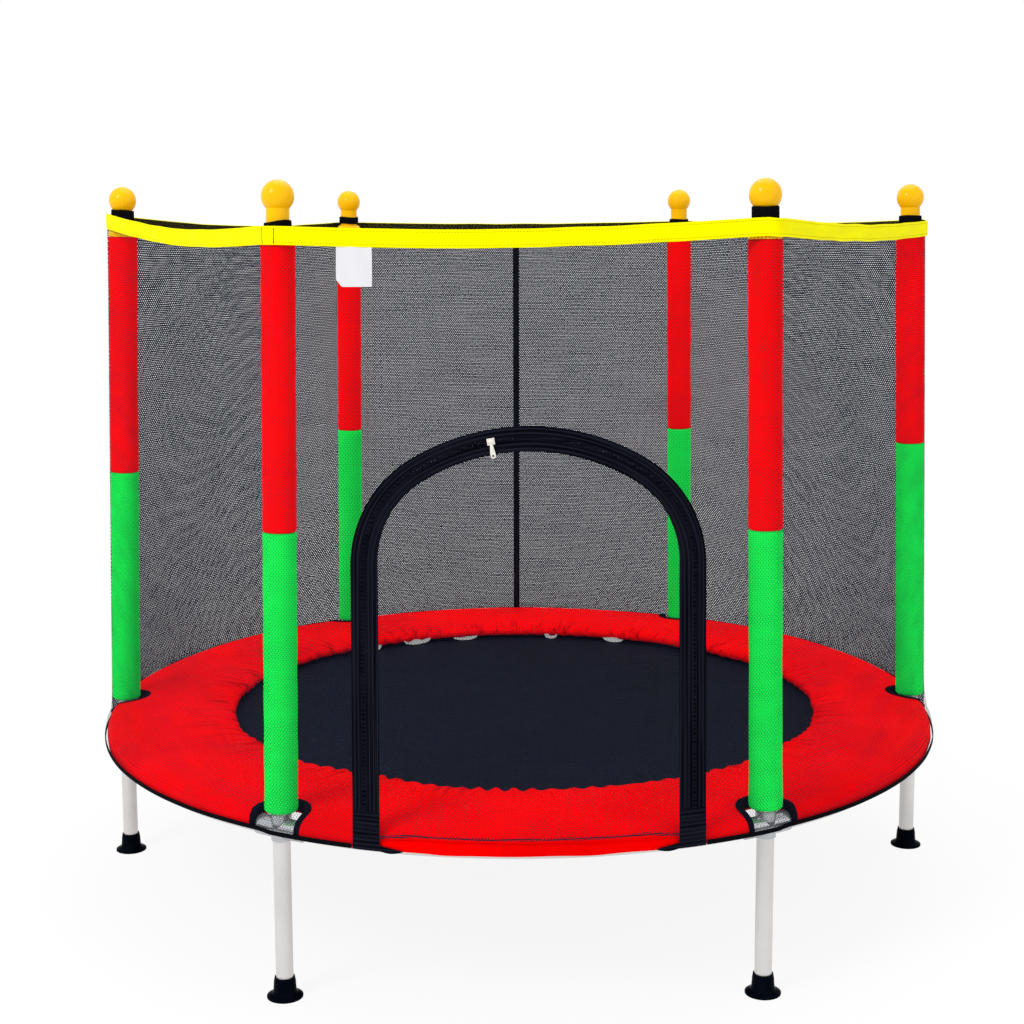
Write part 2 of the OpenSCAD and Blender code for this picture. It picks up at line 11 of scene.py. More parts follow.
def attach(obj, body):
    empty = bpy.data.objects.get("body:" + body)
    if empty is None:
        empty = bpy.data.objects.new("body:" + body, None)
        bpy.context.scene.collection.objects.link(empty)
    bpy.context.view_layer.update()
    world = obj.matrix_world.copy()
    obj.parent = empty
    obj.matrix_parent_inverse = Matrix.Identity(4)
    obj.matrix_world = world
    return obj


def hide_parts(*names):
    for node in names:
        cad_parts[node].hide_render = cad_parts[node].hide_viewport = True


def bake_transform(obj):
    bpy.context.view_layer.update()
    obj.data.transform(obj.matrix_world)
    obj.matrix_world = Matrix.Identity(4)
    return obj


bl_info = {
    "name": "Children's trampoline",
    "version": (1, 0, 0),
    "blender": (4, 5, 0),
    "location": "3D View > Sidebar > Trampoline",
    "description": "Builds the soft pieces, finishes and studio of a children's trampoline with a net",
    "category": "Add Mesh",
}

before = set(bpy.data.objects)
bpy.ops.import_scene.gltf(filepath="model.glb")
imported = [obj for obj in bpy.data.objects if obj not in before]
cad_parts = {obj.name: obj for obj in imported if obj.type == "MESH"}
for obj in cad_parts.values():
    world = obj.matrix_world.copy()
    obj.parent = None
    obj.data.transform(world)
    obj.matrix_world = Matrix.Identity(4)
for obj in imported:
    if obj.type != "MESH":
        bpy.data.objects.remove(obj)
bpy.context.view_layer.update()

POLES = 6
SECTOR = 360 / POLES
RING_R = 0.684
RING_Z = 0.250
TUBE_R = 0.0125
LEAN = math.radians(1.5)
POLE_LEN = 0.822
FOAM_R = 0.024
FOAM_START = 0.026
PAD_Z = 0.2628
PAD_INNER_R = 0.498
RIM_FROM_R = 0.690
RIM_DRAW = 0.36
WINDOW_X = 0.691
WINDOW_HALF = 0.0385
WINDOW_DEPTH = 0.043
NET_FOOT_R = 0.7083
FOOT_DRAW = 0.006
NET_Z0 = 0.2480
NET_BEND_Z = PAD_Z + 0.005
BAND_Z = 1.0672
BAND_H = 0.0245
NET_Z1 = BAND_Z + 0.0045
NET_T = 0.00045
FRONT_FROM, FRONT_TO = 240, 300
TUCK_TURN = 1.3
PULLED_H = 0.12
CLOTH_R = 0.66
CORNER_R = 0.025
SIDE_HANG = 0.5
DOOR_X = 0.007
DOOR_HALF = 0.225
CROWN_Z = 0.518
CROWN_R = 0.290
SHOULDER_X = 0.070
SHOULDER_R = 0.155
SHOULDER_TURN = math.asin(SHOULDER_X / (CROWN_R - SHOULDER_R))
SPRING_LINE_Z = CROWN_Z + math.sqrt((CROWN_R - SHOULDER_R) ** 2 - SHOULDER_X ** 2)
PATCH_Z = 0.302
FLAP_FOOT_Z = 0.264
TAPE_LAP = 0.006
LEG_EASE = 0.09
TAPE_IN = 0.8
TAPE_TOP = 2.0
PATCH_LAP = 4.4
HEM_END_LEN = 32

# Top of the pad, from its inner edge out over the rim and down the skirt: radius and height above its underside, mm
PAD_TOP = [(498, 1.5), (498.6, 4.5), (501, 7.4), (505, 9.6), (512, 11.6), (522, 13.2), (536, 14.8), (555, 16),
           (580, 16.8), (605, 17), (630, 16.6), (650, 15.8), (665, 14.8), (676, 13.9), (683, 13.2), (687.5, 12.3),
           (692, 10.4), (696.4, 7.9), (700.4, 4.8), (703.4, 1.2), (705, -3), (705.8, -7.8), (706.1, -12), (705.8, -15)]
PAD_UNDER = [(704, -15.1), (703.2, -9.5), (701.2, -4), (698.2, -1), (695.5, 0), (684, 0.1), (671, 0), (650, -0.6),
             (620, -2), (580, -3.6), (545, -4.8), (522, -5.6), (508, -5.8), (501, -4.6), (498.6, -1.8)]
PAD_CREST = 22
PAD_RIM = 13

# How far the band sits above its even height, in millimetres: before, at and after each pole, and half way on
BAND_RISES = {1: (0, 0, 0, -5), 2: (9.5, 8, 8, -3), 3: (1, 1, 4, -4), 4: (0, 0, 0, -4), 5: (0, 0, 0, -4),
              6: (16, 18, 17, -5)}
# Radius at which the band's inner face goes round each pole
BAND_CORNER = {1: 0.0264, 2: 0.0264, 3: 0.0264, 4: 0.0264, 5: 0.0264, 6: 0.0243}
BAND_TURN = 1.3

# Each loop's rise above its even place, its height, and its lean to one side, in millimetres
LOOP_PLACES = {1: (2.5, 9.5, 1.8), 2: (10, 20, 0), 3: (3.4, 12.5, 0), 4: (0, 10, 0), 5: (3.4, 13, 0), 6: (8, 21.5, -1)}

# Sections of bars and bands, in millimetres
LOOP_TAB = [(-3.2, -0.6), (3.2, -0.6), (3.4, 0), (3.2, 0.6), (-3.2, 0.6), (-3.4, 0)]
WEBBING = [(-28, 0.9), (-27.4, 1.9), (-25.5, 2.25), (-14, 2.1), (-3, 2.2), (0.4, 1.9), (1.6, 0.9), (1.8, 0),
           (1.6, -0.9), (0.4, -1.9), (-3, -2.2), (-14, -2.1), (-25.5, -2.25), (-27.4, -1.9), (-28, -0.9), (-20, -0.75),
           (0.1, -0.7), (0.1, 0.7), (-20, 0.75)]
RING_TAB = [(-16, 2.2), (-14, 2.9), (0, 3), (4.5, 3.1), (8.6, 2.9), (10.4, 1.6), (10.6, 0), (10.4, -1.6), (8.6, -2.9),
            (4.5, -3.1), (0, -3), (-14, -2.9), (-16, -2.2), (1.5, -1.9), (4.6, -1.9), (6.2, -1.65), (8.3, -1.1),
            (8.7, 0), (8.3, 1.1), (6.2, 1.65), (4.6, 1.9), (1.5, 1.9)]
BINDING = [(-2.2, -13), (-2.6, -4), (-2.6, 0.6), (-1.4, 1.7), (1, 1.9), (5.2, 1.7), (6.8, 1), (7, -0.6), (4, -1.2),
           (0.4, -3), (-0.2, -13)]
SEAM = [(10.2, -0.8), (7.72, -1.9), (4, -2.1), (0.28, -1.9), (-2.2, -0.8), (-2.2, 0.8), (4, 1.2), (10.2, 0.8)]
HEM = [(0.7, 0.2), (1.2, -0.2), (2, 0.3), (2.4, 1.6), (2.4, 5), (2.1, 6.6), (1.4, 6.9), (0.8, 6.6), (0.7, 3.4)]
BAND = [(0, 0.2), (0.6, -0.4), (1.4, 0), (1.8, 1.2), (1.9, 5.3), (2.2, 12.2), (1.9, 19.2), (1.8, 23.4), (1.4, 24.5),
        (0.6, 24.9), (0, 24.3), (0.1, 12.2)]
BAND_LINING = [(-1, 1.3), (-0.2, 0.8), (-0.1, 12.2), (-0.2, 23.8), (-1, 23.2), (-0.9, 12.2)]
HEM_END = ((0, 0.8), (0, 2), (1, 2), (1, 0.8))
FLAP_FOOT = [(0, TAPE_IN), (0, 1.5), (0.5, 1.8), (3.9, 1.8), (4.4, 1.5), (4.4, TAPE_IN)]
HOOK_IN = [(572.8, 0, -2.2), (572.7, 0, 0.4), (573.5, 0, 2.6), (575.2, 0, 3.3), (579, 0, 3.2), (582.5, 0, 2.6),
           (585, 0.4, 2.6)]
HOOK_OUT = [(660.5, 0.3, 1.6), (663, 0, 0.3), (668, 0, 0), (673.5, 0, 0), (676, 0, -0.8), (676.7, 0, -2.8),
            (676.7, 0, -5)]


# ---- Sizes and colours ----

def colour(name, description, value):
    return FloatVectorProperty(name=name, description=description, default=value, subtype="COLOR",
                               size=3, min=0, max=1)


def length(name, description, value, low, high):
    return FloatProperty(name=name, description=description, default=value, min=low, max=high, unit="LENGTH")


def cover(name, description, value):
    return FloatProperty(name=name, description=description, default=value, min=0.05, max=0.9, subtype="FACTOR")


class NetSettings(bpy.types.PropertyGroup):
    thread: colour("Thread", "Colour of the net's threads", (0.011, 0.013, 0.028))
    cell_w: length("Cell width", "Width of one mesh of the net", 0.0044, 0.003, 0.01)
    cell_h: length("Cell height", "Height of one mesh of the net", 0.0029, 0.002, 0.01)
    open_cover: cover("Open mesh cover", "Share that thread covers in the front sheets", 0.125)
    close_cover: cover("Close mesh cover", "Share that thread covers in the back sheets", 0.81)
    band: colour("Band", "Colour of the band at the net's top", (1.0, 0.93, 0.0))
    ripple: length("Ripple", "Depth of the slack waves in the net", 0.0016, 0, 0.005)


class PadSettings(bpy.types.PropertyGroup):
    cover: colour("Cover", "Colour of the pad's cover", (0.90, 0.0005, 0.0003))
    binding: colour("Binding", "Colour of the tape round the pad's gaps", (0.003, 0.0035, 0.007))
    gathers: IntProperty(name="Gathers", description="Gathers round the pad's inner edge", default=108, min=36, max=180)
    gather_depth: length("Gather depth", "Depth of the gathers at the inner edge", 0.0034, 0, 0.006)


class PoleSettings(bpy.types.PropertyGroup):
    lower: colour("Lower sleeve", "Colour of the lower foam sleeves", (0.010, 0.83, 0.085))
    upper: colour("Upper sleeve", "Colour of the upper foam sleeves", (0.94, 0.002, 0.0015))
    cap: colour("Cap", "Colour of the ball caps", (0.94, 0.50, 0.001))
    change: length("Colour change", "Height of the colour change above the ring's middle", 0.423, 0.35, 0.5)
    odd_change: length("Odd pole", "How much higher the change sits on the pole at the right", 0.044, 0, 0.08)


class MatSettings(bpy.types.PropertyGroup):
    weave: colour("Weave", "Colour of the mat's woven tape yarn", (0.0060, 0.0080, 0.0140))
    radius: length("Radius", "Radius of the mat", 0.560, 0.5, 0.6)
    springs: IntProperty(name="Springs", description="Number of springs", default=36, min=24, max=48)
    turns: IntProperty(name="Turns", description="Turns of one spring's coil", default=25, min=10, max=32)


class DoorSettings(bpy.types.PropertyGroup):
    tape: colour("Tape", "Colour of the zip's tapes", (0.0022, 0.0026, 0.0058))
    tape_w: length("Tape width", "Full width of the closed zip tape", 0.033, 0.02, 0.05)
    tooth_pitch: length("Tooth pitch", "Distance between two teeth of the coil", 0.0026, 0.0015, 0.005)


class StudioSettings(bpy.types.PropertyGroup):
    floor: colour("Floor", "Colour of the floor", (0.92, 0.92, 0.92))
    key: FloatProperty(name="Key lamp", description="Power of the key lamp", default=98, min=0, unit="POWER")
    world: FloatProperty(name="Room light", description="Strength of the light from all round", default=0.72,
                         min=0, max=2)


# ---- Number helpers ----

def mm(values):
    """Millimetres to metres."""
    return np.array(values, float) / 1000


def ramp(x, start, run):
    """From 0 at the start to 1 after the run, which may be negative."""
    return np.clip((x - start) / run, 0, 1)


def wave(seed, count, low, high):
    """Sum of sines with fixed random phases, as a function of an angle in radians, from about -1 to 1."""
    rng = np.random.default_rng(seed)
    n = rng.integers(low, high + 1, count)
    phase = rng.uniform(0, 2 * math.pi, count)
    size = rng.uniform(0.5, 1, count)
    size = size / np.sqrt((size ** 2).sum())
    return lambda a: sum(s * np.sin(k * a + p) for s, k, p in zip(size, n, phase))


def lengths(path):
    """Length along a path up to each of its points."""
    return np.concatenate([[0], np.cumsum(np.linalg.norm(np.diff(path, axis=0), axis=1))])


def around(r, rad, z):
    return np.stack([r * np.cos(rad), r * np.sin(rad), z + 0 * rad], axis=-1)


def polar(r, a, z):
    """Points at a radius, an angle in degrees and a height."""
    return around(r, np.radians(a), z)


def toward(a):
    """Level direction at an angle in degrees."""
    return np.array([math.cos(math.radians(a)), math.sin(math.radians(a))])


def from_pole(a):
    """Degrees from the nearest pole."""
    return a - SECTOR * np.round(a / SECTOR)


# ---- Mesh helpers ----

def deselect():
    if bpy.context.object is not None and bpy.context.object.mode != "OBJECT":
        bpy.ops.object.mode_set(mode="OBJECT")
    bpy.ops.object.select_all(action="DESELECT")


def pick(*objects):
    """Selects these objects alone, the last one active."""
    deselect()
    for o in objects:
        o.select_set(True)
        bpy.context.view_layer.objects.active = o


def edit(o):
    """Opens an object in edit mode with all of it selected."""
    pick(o)
    bpy.ops.object.mode_set(mode="EDIT")
    bpy.ops.mesh.select_all(action="SELECT")


def weld(o, gap=1e-6):
    """Merges vertices that meet, and leaves the object in edit mode."""
    edit(o)
    bpy.ops.mesh.remove_doubles(threshold=gap)


def face_outwards():
    """In edit mode: turns all faces outwards and leaves edit mode."""
    bpy.ops.mesh.select_all(action="SELECT")
    bpy.ops.mesh.normals_make_consistent(inside=False)
    bpy.ops.object.mode_set(mode="OBJECT")


def discard(o):
    pick(o)
    bpy.ops.object.delete()


def named(o, name):
    o.name = o.data.name = name
    return o


def place_vertices(o, points):
    o.data.vertices.foreach_set("co", np.asarray(points, np.float32).reshape(-1))
    o.data.update()


def vertices(o):
    co = np.zeros(len(o.data.vertices) * 3, np.float32)
    o.data.vertices.foreach_get("co", co)
    return co.reshape(-1, 3)


def map_cloth(o, uv):
    """Writes the cloth map: each vertex's place on the flat cloth, in metres."""
    mesh = o.data
    layer = mesh.uv_layers.get("cloth") or mesh.uv_layers.new(name="cloth")
    at = np.zeros(len(mesh.loops), np.int32)
    mesh.loops.foreach_get("vertex_index", at)
    layer.data.foreach_set("uv", uv[at].astype(np.float32).reshape(-1))


def map_upright(*objects):
    """Gives pieces a cloth map from their sideways place and height."""
    for o in objects:
        map_cloth(o, vertices(o)[:, [0, 2]])


def cloth(name, points, uv=None):
    """Sheet over rows and columns of points; uv is each point's place on the flat cloth."""
    rows, cols = points.shape[:2]
    deselect()
    bpy.ops.mesh.primitive_grid_add(x_subdivisions=cols - 1, y_subdivisions=rows - 1, size=2)
    o = named(bpy.context.object, name)
    place_vertices(o, points)
    o.data.uv_layers[0].name = "cloth"
    if uv is not None:
        map_cloth(o, uv.reshape(-1, 2))
    return o


def loop_of(name, points, uv=None):
    """Closed ring swept from closed sections: points is [steps round][points of the section]."""
    ring = np.concatenate([points, points[:1]])
    o = cloth(name, np.concatenate([ring, ring[:, :1]], axis=1), uv)
    weld(o)
    face_outwards()
    return o


def strip(name, sections):
    """Closed bar swept along an open path, with flat ends: sections is [steps][points of the section]."""
    sections = np.asarray(sections)
    o = cloth(name, np.concatenate([sections, sections[:, :1]], axis=1))
    weld(o)
    bpy.ops.mesh.select_all(action="DESELECT")
    bpy.ops.mesh.select_mode(type="EDGE")
    bpy.ops.mesh.select_non_manifold(extend=False, use_wire=False, use_boundary=True, use_multi_face=False,
                                     use_non_contiguous=False, use_verts=False)
    bpy.ops.mesh.fill()
    face_outwards()
    return o


def turned(name, outline, sides):
    """Turned piece about Z: a circle drawn out through the outline's (radius, height) pairs."""
    last_r, last_z = outline[0]
    deselect()
    bpy.ops.mesh.primitive_circle_add(vertices=sides, radius=last_r, location=(0, 0, last_z))
    o = named(bpy.context.object, name)
    bpy.ops.object.transform_apply(location=True)
    edit(o)
    for r, z in outline[1:]:
        bpy.ops.mesh.extrude_region_move(TRANSFORM_OT_translate={"value": (0, 0, z - last_z)})
        bpy.ops.transform.resize(value=(r / last_r, r / last_r, 1), center_override=(0, 0, z))
        last_r, last_z = r, z
    weld(o)
    face_outwards()
    return o


def mesh_of(name, points, faces):
    """One object of many small closed solids: points is [solids][corners], and each has the same faces."""
    start = points.shape[1] * np.arange(len(points))[:, None, None]
    mesh = bpy.data.meshes.new(name)
    mesh.from_pydata(points.reshape(-1, 3).tolist(), [], (np.array(faces) + start).reshape(-1, len(faces[0])).tolist())
    o = bpy.data.objects.new(name, mesh)
    bpy.context.scene.collection.objects.link(o)
    edit(o)
    face_outwards()
    return o


def move(o, matrix):
    o.data.transform(matrix)
    o.data.update()


def copy_of(o, name, matrix):
    twin = o.copy()
    twin.data = o.data.copy()
    bpy.context.scene.collection.objects.link(twin)
    move(twin, matrix)
    return named(twin, name)


def joined(name, objects):
    pick(*reversed(objects))
    bpy.ops.object.join()
    return named(bpy.context.object, name)


def apply_modifier(o, kind, **values):
    pick(o)
    bpy.ops.object.modifier_add(type=kind)
    m = o.modifiers[-1]
    for key, value in values.items():
        setattr(m, key, value)
    bpy.ops.object.modifier_apply(modifier=m.name)


def thicken(o, thickness, offset=1):
    apply_modifier(o, "SOLIDIFY", thickness=thickness, offset=offset, use_even_offset=True)


def complete(o, material, body=None, nodes=(), angle=40):
    """Smooths a finished piece, gives it its material and slot, and puts it on its body."""
    pick(o)
    bpy.ops.object.shade_smooth_by_angle(angle=math.radians(angle))
    o.data.materials.clear()
    o.data.materials.append(material)
    if nodes:
        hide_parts(*nodes)
    if body:
        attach(o, body)
    return o


# A stitch's corners, as shares of its length, width and height
STITCH = np.array([(-0.5, 0, -0.3), (-0.3, -0.5, 0), (-0.3, 0, 0.9), (-0.3, 0.5, 0), (0.3, -0.5, 0), (0.3, 0, 0.9),
                   (0.3, 0.5, 0), (0.5, 0, -0.3)])
STITCH_FACES = [(0, 1, 2), (0, 2, 3), (1, 4, 5), (1, 5, 2), (2, 5, 6), (2, 6, 3), (4, 7, 5), (5, 7, 6), (0, 3, 1),
                (3, 6, 4), (3, 4, 1), (6, 7, 4)]


def stitches_on(points, normals, size):
    """Corners of a row of stitches, one for each point but the last; size is (length, width, height) in mm."""
    ahead = np.diff(points, axis=0)
    mid = points[:-1] + ahead / 2
    along = ahead / np.maximum(np.linalg.norm(ahead, axis=1, keepdims=True), 1e-9)
    up = normals[:-1]
    side = np.cross(up, along)
    side /= np.maximum(np.linalg.norm(side, axis=1, keepdims=True), 1e-9)
    corner = STITCH * mm(size)
    return mid[:, None] + sum(way[:, None] * corner[:, k, None] for k, way in enumerate((along, side, up)))


def stitched(name, rows):
    """All stitches of a piece as one object: each stitch a small pillow of thread."""
    return mesh_of(name, np.concatenate(rows), STITCH_FACES)


# ---- The shape of the net and of the pad ----

def pole_r(z):
    return RING_R - (z - RING_Z) * math.tan(LEAN)


NET_POLE_R = pole_r(NET_Z1)
HALF_SECTOR = math.radians(SECTOR / 2)
NET_APOTHEM = NET_POLE_R * math.cos(HALF_SECTOR) + CORNER_R
CORNER_HALF = math.degrees(math.atan2(CORNER_R * math.sin(HALF_SECTOR), NET_POLE_R + CORNER_R * math.cos(HALF_SECTOR)))
NET_ROWS = np.concatenate([[NET_Z0, 0.2585], NET_BEND_Z + (NET_Z1 - NET_BEND_Z) * np.linspace(0, 1, 41) ** 1.6])


def top_r(a):
    """Radius of the net's taut top edge at an angle in degrees."""
    d = np.abs(from_pole(a))
    rad = np.radians(d)
    inside = np.maximum(CORNER_R ** 2 - (NET_POLE_R * np.sin(rad)) ** 2, 0)
    return np.where(d <= CORNER_HALF, NET_POLE_R * np.cos(rad) + np.sqrt(inside),
                    NET_APOTHEM / np.cos(np.radians(SECTOR / 2 - d)))


def at_front(a):
    """Whether an angle in degrees is in the front sheet, from pole 1 to pole 2."""
    return (np.mod(a, 360) >= FRONT_FROM) & (np.mod(a, 360) <= FRONT_TO)


def tucked(a):
    """How far the net's foot and the pad's rim are drawn in: 0 at the front and at poles, else up to 1."""
    return np.where(at_front(a), 0.0, 1 - np.exp(-(from_pole(a) / TUCK_TURN) ** 2))


def net_r(a, z):
    """Radius of the net's middle surface. The front is straight from foot to top, the other sides are drawn in."""
    share = np.maximum(0, z - NET_BEND_Z) / (NET_Z1 - NET_BEND_Z)
    drawn = (NET_POLE_R + CORNER_R - top_r(a)) * share ** np.where(at_front(a), 1.0, SIDE_HANG)
    foot = NET_FOOT_R - FOOT_DRAW * tucked(a) * (1 - np.minimum(share, 1)) ** 2
    return foot + (NET_POLE_R + CORNER_R - NET_FOOT_R) * share - drawn


def front_angle(x, z):
    """Angle at which the front of the net has a given x at a given height."""
    a = np.full(np.broadcast(x, z).shape, -90.0)
    for _ in range(8):
        a = a + np.degrees(x / net_r(a, z) - np.cos(np.radians(a)))
    return a


def front_point(x, z, out=0.0):
    """Point on the front of the net, stood off from its middle surface."""
    a = front_angle(x, z)
    return polar(net_r(a, z) + out, a, z)


def slack(a, z, depth):
    """Waves of a slack net, none at its foot, its band or the poles."""
    up = ramp(z, NET_BEND_Z, NET_Z1 - NET_BEND_Z)
    ease = np.sin(up * math.pi) ** 0.7 * ramp(np.abs(from_pole(a)) / (SECTOR / 2), 0.12, 0.3)
    rad = np.radians(a)
    return depth * ease * (np.sin(14 * rad + 3 * up) * 0.6 + 0.4 * np.sin(31 * rad - 5 * up) * np.cos(9 * up)
                           + 0.3 * np.sin(7 * up * math.pi + 4 * rad))


def band_rise(a):
    """Rise of the band at an angle in degrees: a hanging curve between poles, and round each pole."""
    a = np.mod(np.asarray(a, float) + 180, 360)
    i = np.floor(a / SECTOR).astype(int)
    d = a - i * SECTOR
    rows = np.array([BAND_RISES[k or POLES] for k in range(POLES)], float)
    here, following = rows[i % POLES], rows[(i + 1) % POLES]
    t = ramp(d, BAND_TURN, SECTOR - 2 * BAND_TURN)
    span = (here[..., 2] * (1 - t) * (1 - 2 * t) + here[..., 3] * 4 * t * (1 - t)
            + following[..., 0] * t * (2 * t - 1))
    begin = here[..., 1] + (here[..., 2] - here[..., 1]) * ramp(d, 0, BAND_TURN)
    end = following[..., 1] + (following[..., 0] - following[..., 1]) * ramp(d, SECTOR, -BAND_TURN)
    return np.where(d < BAND_TURN, begin, np.where(d > SECTOR - BAND_TURN, end, span)) / 1000


def raised(a, z):
    """Heights of the net, drawn up or let down with the band in their top part."""
    return z + band_rise(a) * ramp(z, NET_Z1 - PULLED_H, PULLED_H) ** 1.5


def net_cloth(name, a, z, ripple=0.0, knit=1.0):
    """Sheet on the net's surface over angles and heights, drawn up with the band, with its flat place."""
    points = polar(net_r(a, z) + slack(a, z, ripple), a, raised(a, z))
    return cloth(name, points, knit * np.stack([np.radians(a) * CLOTH_R, z], axis=-1))


def rim_r(a, r):
    """Radius in the pad's rim at an angle in degrees, where the rim is drawn in with the net's foot."""
    return r - np.maximum(r - RIM_FROM_R, 0) * RIM_DRAW * tucked(a)


def pad_shift(rad):
    """How far the pad's inner edge lies off its even circle, as the cover sits a little to one side."""
    return 0.010 * np.cos(rad) + 0.009 * np.sin(rad)


def pad_top_z(r):
    """Height of the pad's top surface at a radius."""
    at_r, at_z = mm(PAD_TOP[:PAD_CREST]).T
    return PAD_Z + np.interp(r, at_r, at_z)


# ---- Material helpers ----

class Nodes:
    """A node tree, built a node at a time."""

    def __init__(self, tree):
        self.tree = tree

    def set(self, node, key, value):
        socket = node.inputs[key if isinstance(key, int) else key.replace("_", " ")]
        if isinstance(value, bpy.types.NodeSocket):
            self.tree.links.new(value, socket)
        elif socket.type == "RGBA" and len(value) == 3:
            socket.default_value = (*value, 1)
        else:
            socket.default_value = value

    def add(self, kind, values=(), **settings):
        node = self.tree.nodes.new("ShaderNode" + kind)
        for key, value in settings.items():
            setattr(node, key, value)
        for key, value in dict(values).items():
            self.set(node, key, value)
        return node

    def math(self, operation, *values):
        return self.add("Math", dict(enumerate(values)), operation=operation).outputs[0]

    def eye_ray(self):
        """1 for a ray from the camera, directly or by way of gloss or glass, else 0."""
        ray = self.add("LightPath").outputs
        return self.math("MAXIMUM", self.math("MAXIMUM", ray["Is Camera Ray"], ray["Is Glossy Ray"]),
                         ray["Is Transmission Ray"])


class Shades(Nodes):
    """Node tree of one procedural material."""

    def __init__(self, name, **values):
        self.material = bpy.data.materials.get(name) or bpy.data.materials.new(name)
        self.material.use_nodes = True
        super().__init__(self.material.node_tree)
        self.shader = next(n for n in self.tree.nodes if n.type == "BSDF_PRINCIPLED")
        self.use(**values)

    def use(self, **values):
        for key, value in values.items():
            self.set(self.shader, key, value)
        return self.material

    def finish(self, tone, factor, low, high, start=0.3, end=0.7):
        """Sets the colour, and the roughness that goes from low to high with the factor."""
        return self.use(Base_Color=tone, Roughness=self.between(factor, low, high, start, end))

    def mapped(self, at, scale, turn=(0, 0, 0)):
        return self.add("Mapping", {"Vector": at, "Scale": scale, "Rotation": turn}).outputs[0]

    def place(self, scale=(1, 1, 1), turn=0.0):
        """Object coordinates, scaled and turned about Z."""
        return self.mapped(self.add("TexCoord").outputs["Object"], scale, (0, 0, turn))

    def on_cloth(self, scale=(1, 1, 1), turn=0.0):
        """The piece's own UV map, in metres on the flat cloth."""
        return self.mapped(self.add("UVMap", uv_map="cloth").outputs[0], scale, (0, 0, turn))

    def parts(self, at):
        return self.add("SeparateXYZ", {"Vector": at}).outputs

    def from_axis(self):
        """Distance from the object's Z axis."""
        return self.add("VectorMath", {0: self.place((1, 1, 0))}, operation="LENGTH").outputs["Value"]

    def noise(self, at, scale, detail=3.0, rough=0.5):
        return self.add("TexNoise", {"Vector": at, "Scale": scale, "Detail": detail, "Roughness": rough}).outputs[0]

    def waves(self, value, pitch):
        return self.math("SINE", self.math("MULTIPLY", value, 2 * math.pi / pitch))

    def weave(self, at, pitch):
        """Plain weave: a height from 0 to 1 with the given thread pitch, from a place in metres."""
        parts = self.parts(at)
        return self.between(self.math("MULTIPLY", self.waves(parts[0], pitch), self.waves(parts[1], pitch)),
                            0.0, 1.0, -1.0, 1.0)

    def between(self, factor, low, high, start=0.0, end=1.0, **settings):
        """A number carried from the range start to end over to the range low to high."""
        return self.add("MapRange", {"Value": factor, "From Min": start, "From Max": end,
                                     "To Min": low, "To Max": high}, **settings).outputs[0]

    def mix(self, factor, first, second):
        return self.add("Mix", {0: factor, 6: first, 7: second}, data_type="RGBA").outputs[2]

    def blend(self, factor, start, end, first, second, most=1.0):
        """From the first colour to the second, or to that share of it, as the factor goes from start to end."""
        return self.mix(self.between(factor, 0.0, most, start, end), first, second)

    def bump(self, height, strength, distance):
        node = self.add("Bump", {"Height": height, "Strength": strength, "Distance": distance})
        self.set(self.shader, "Normal", node.outputs[0])


def toned(c, share, plus=0.0):
    return tuple(x * share + plus for x in c)


def steel_material(name, base, rough, streak=(40, 40, 40), metallic=1.0):
    s = Shades(name, Metallic=metallic)
    grain = s.noise(s.place(streak), 6.0, 5.0, 0.6)
    s.bump(grain, 0.12, 0.0004)
    tone = s.blend(s.noise(s.place(), 9.0), 0.3, 0.7, toned(base, 0.86), base)
    return s.finish(tone, grain, rough * 0.8, rough * 1.25)


def plastic_material(name, base, rough):
    s = Shades(name, Specular_IOR_Level=0.11, Coat_Weight=0.03, Coat_Roughness=0.04)
    cloud = s.noise(s.place(), 35.0, 2.0)
    s.bump(s.noise(s.place(), 900.0, 2.0), 0.06, 0.0002)
    return s.finish(s.blend(cloud, 0.35, 0.65, toned(base, 0.93), base), cloud, rough * 0.85, rough * 1.2)


def rubber_material(name, base):
    s = Shades(name, Specular_IOR_Level=0.008)
    dust = s.noise(s.place(), 60.0, 4.0)
    s.bump(s.noise(s.place(), 700.0), 0.08, 0.0003)
    return s.finish(s.blend(dust, 0.45, 0.8, base, toned(base, 1, 0.002)), dust, 0.16, 0.28)


def foam_material(name, base):
    """Sleeve of foam with a thin smooth skin: fine pores, soft creases and a faint length-wise tone."""
    s = Shades(name, Specular_IOR_Level=0.008)
    pores = s.add("TexVoronoi", {"Vector": s.place(), "Scale": 900.0}).outputs[0]
    creases = s.noise(s.place((1, 1, 6)), 28.0)
    cloud = s.noise(s.place((1, 1, 0.4)), 14.0, 2.0)
    s.bump(s.math("ADD", s.math("MULTIPLY", pores, 0.25), creases), 0.16, 0.0012)
    return s.finish(s.blend(cloud, 0.35, 0.65, toned(base, 0.88), base), creases, 0.42, 0.6)


def webbing_material(name, base, pitch):
    """Woven tape on object coordinates: ribs in three directions, so it reads the same on every side; the ribs' hollows
    are darkened with painted shade.
    """
    s = Shades(name, Specular_IOR_Level=0.01)
    parts = s.parts(s.place())
    waves = [s.waves(parts[k], pitch) for k in range(3)]
    height = s.between(s.math("ADD", s.math("MULTIPLY", waves[0], waves[1]), waves[2]), 0.0, 1.0, -2.0, 2.0)
    fluff = s.noise(s.place(), 140.0)
    s.bump(height, 0.5, 0.0004)
    # Painted shade: the colour is darker where the ribs' bump is low
    tone = s.blend(height, 0.0, 1.0, toned(base, 0.55), base)
    tone = s.blend(fluff, 0.45, 0.8, tone, toned(base, 1.6, 0.002), 0.5)
    return s.finish(tone, fluff, 0.6, 0.85, 0.0, 1.0)


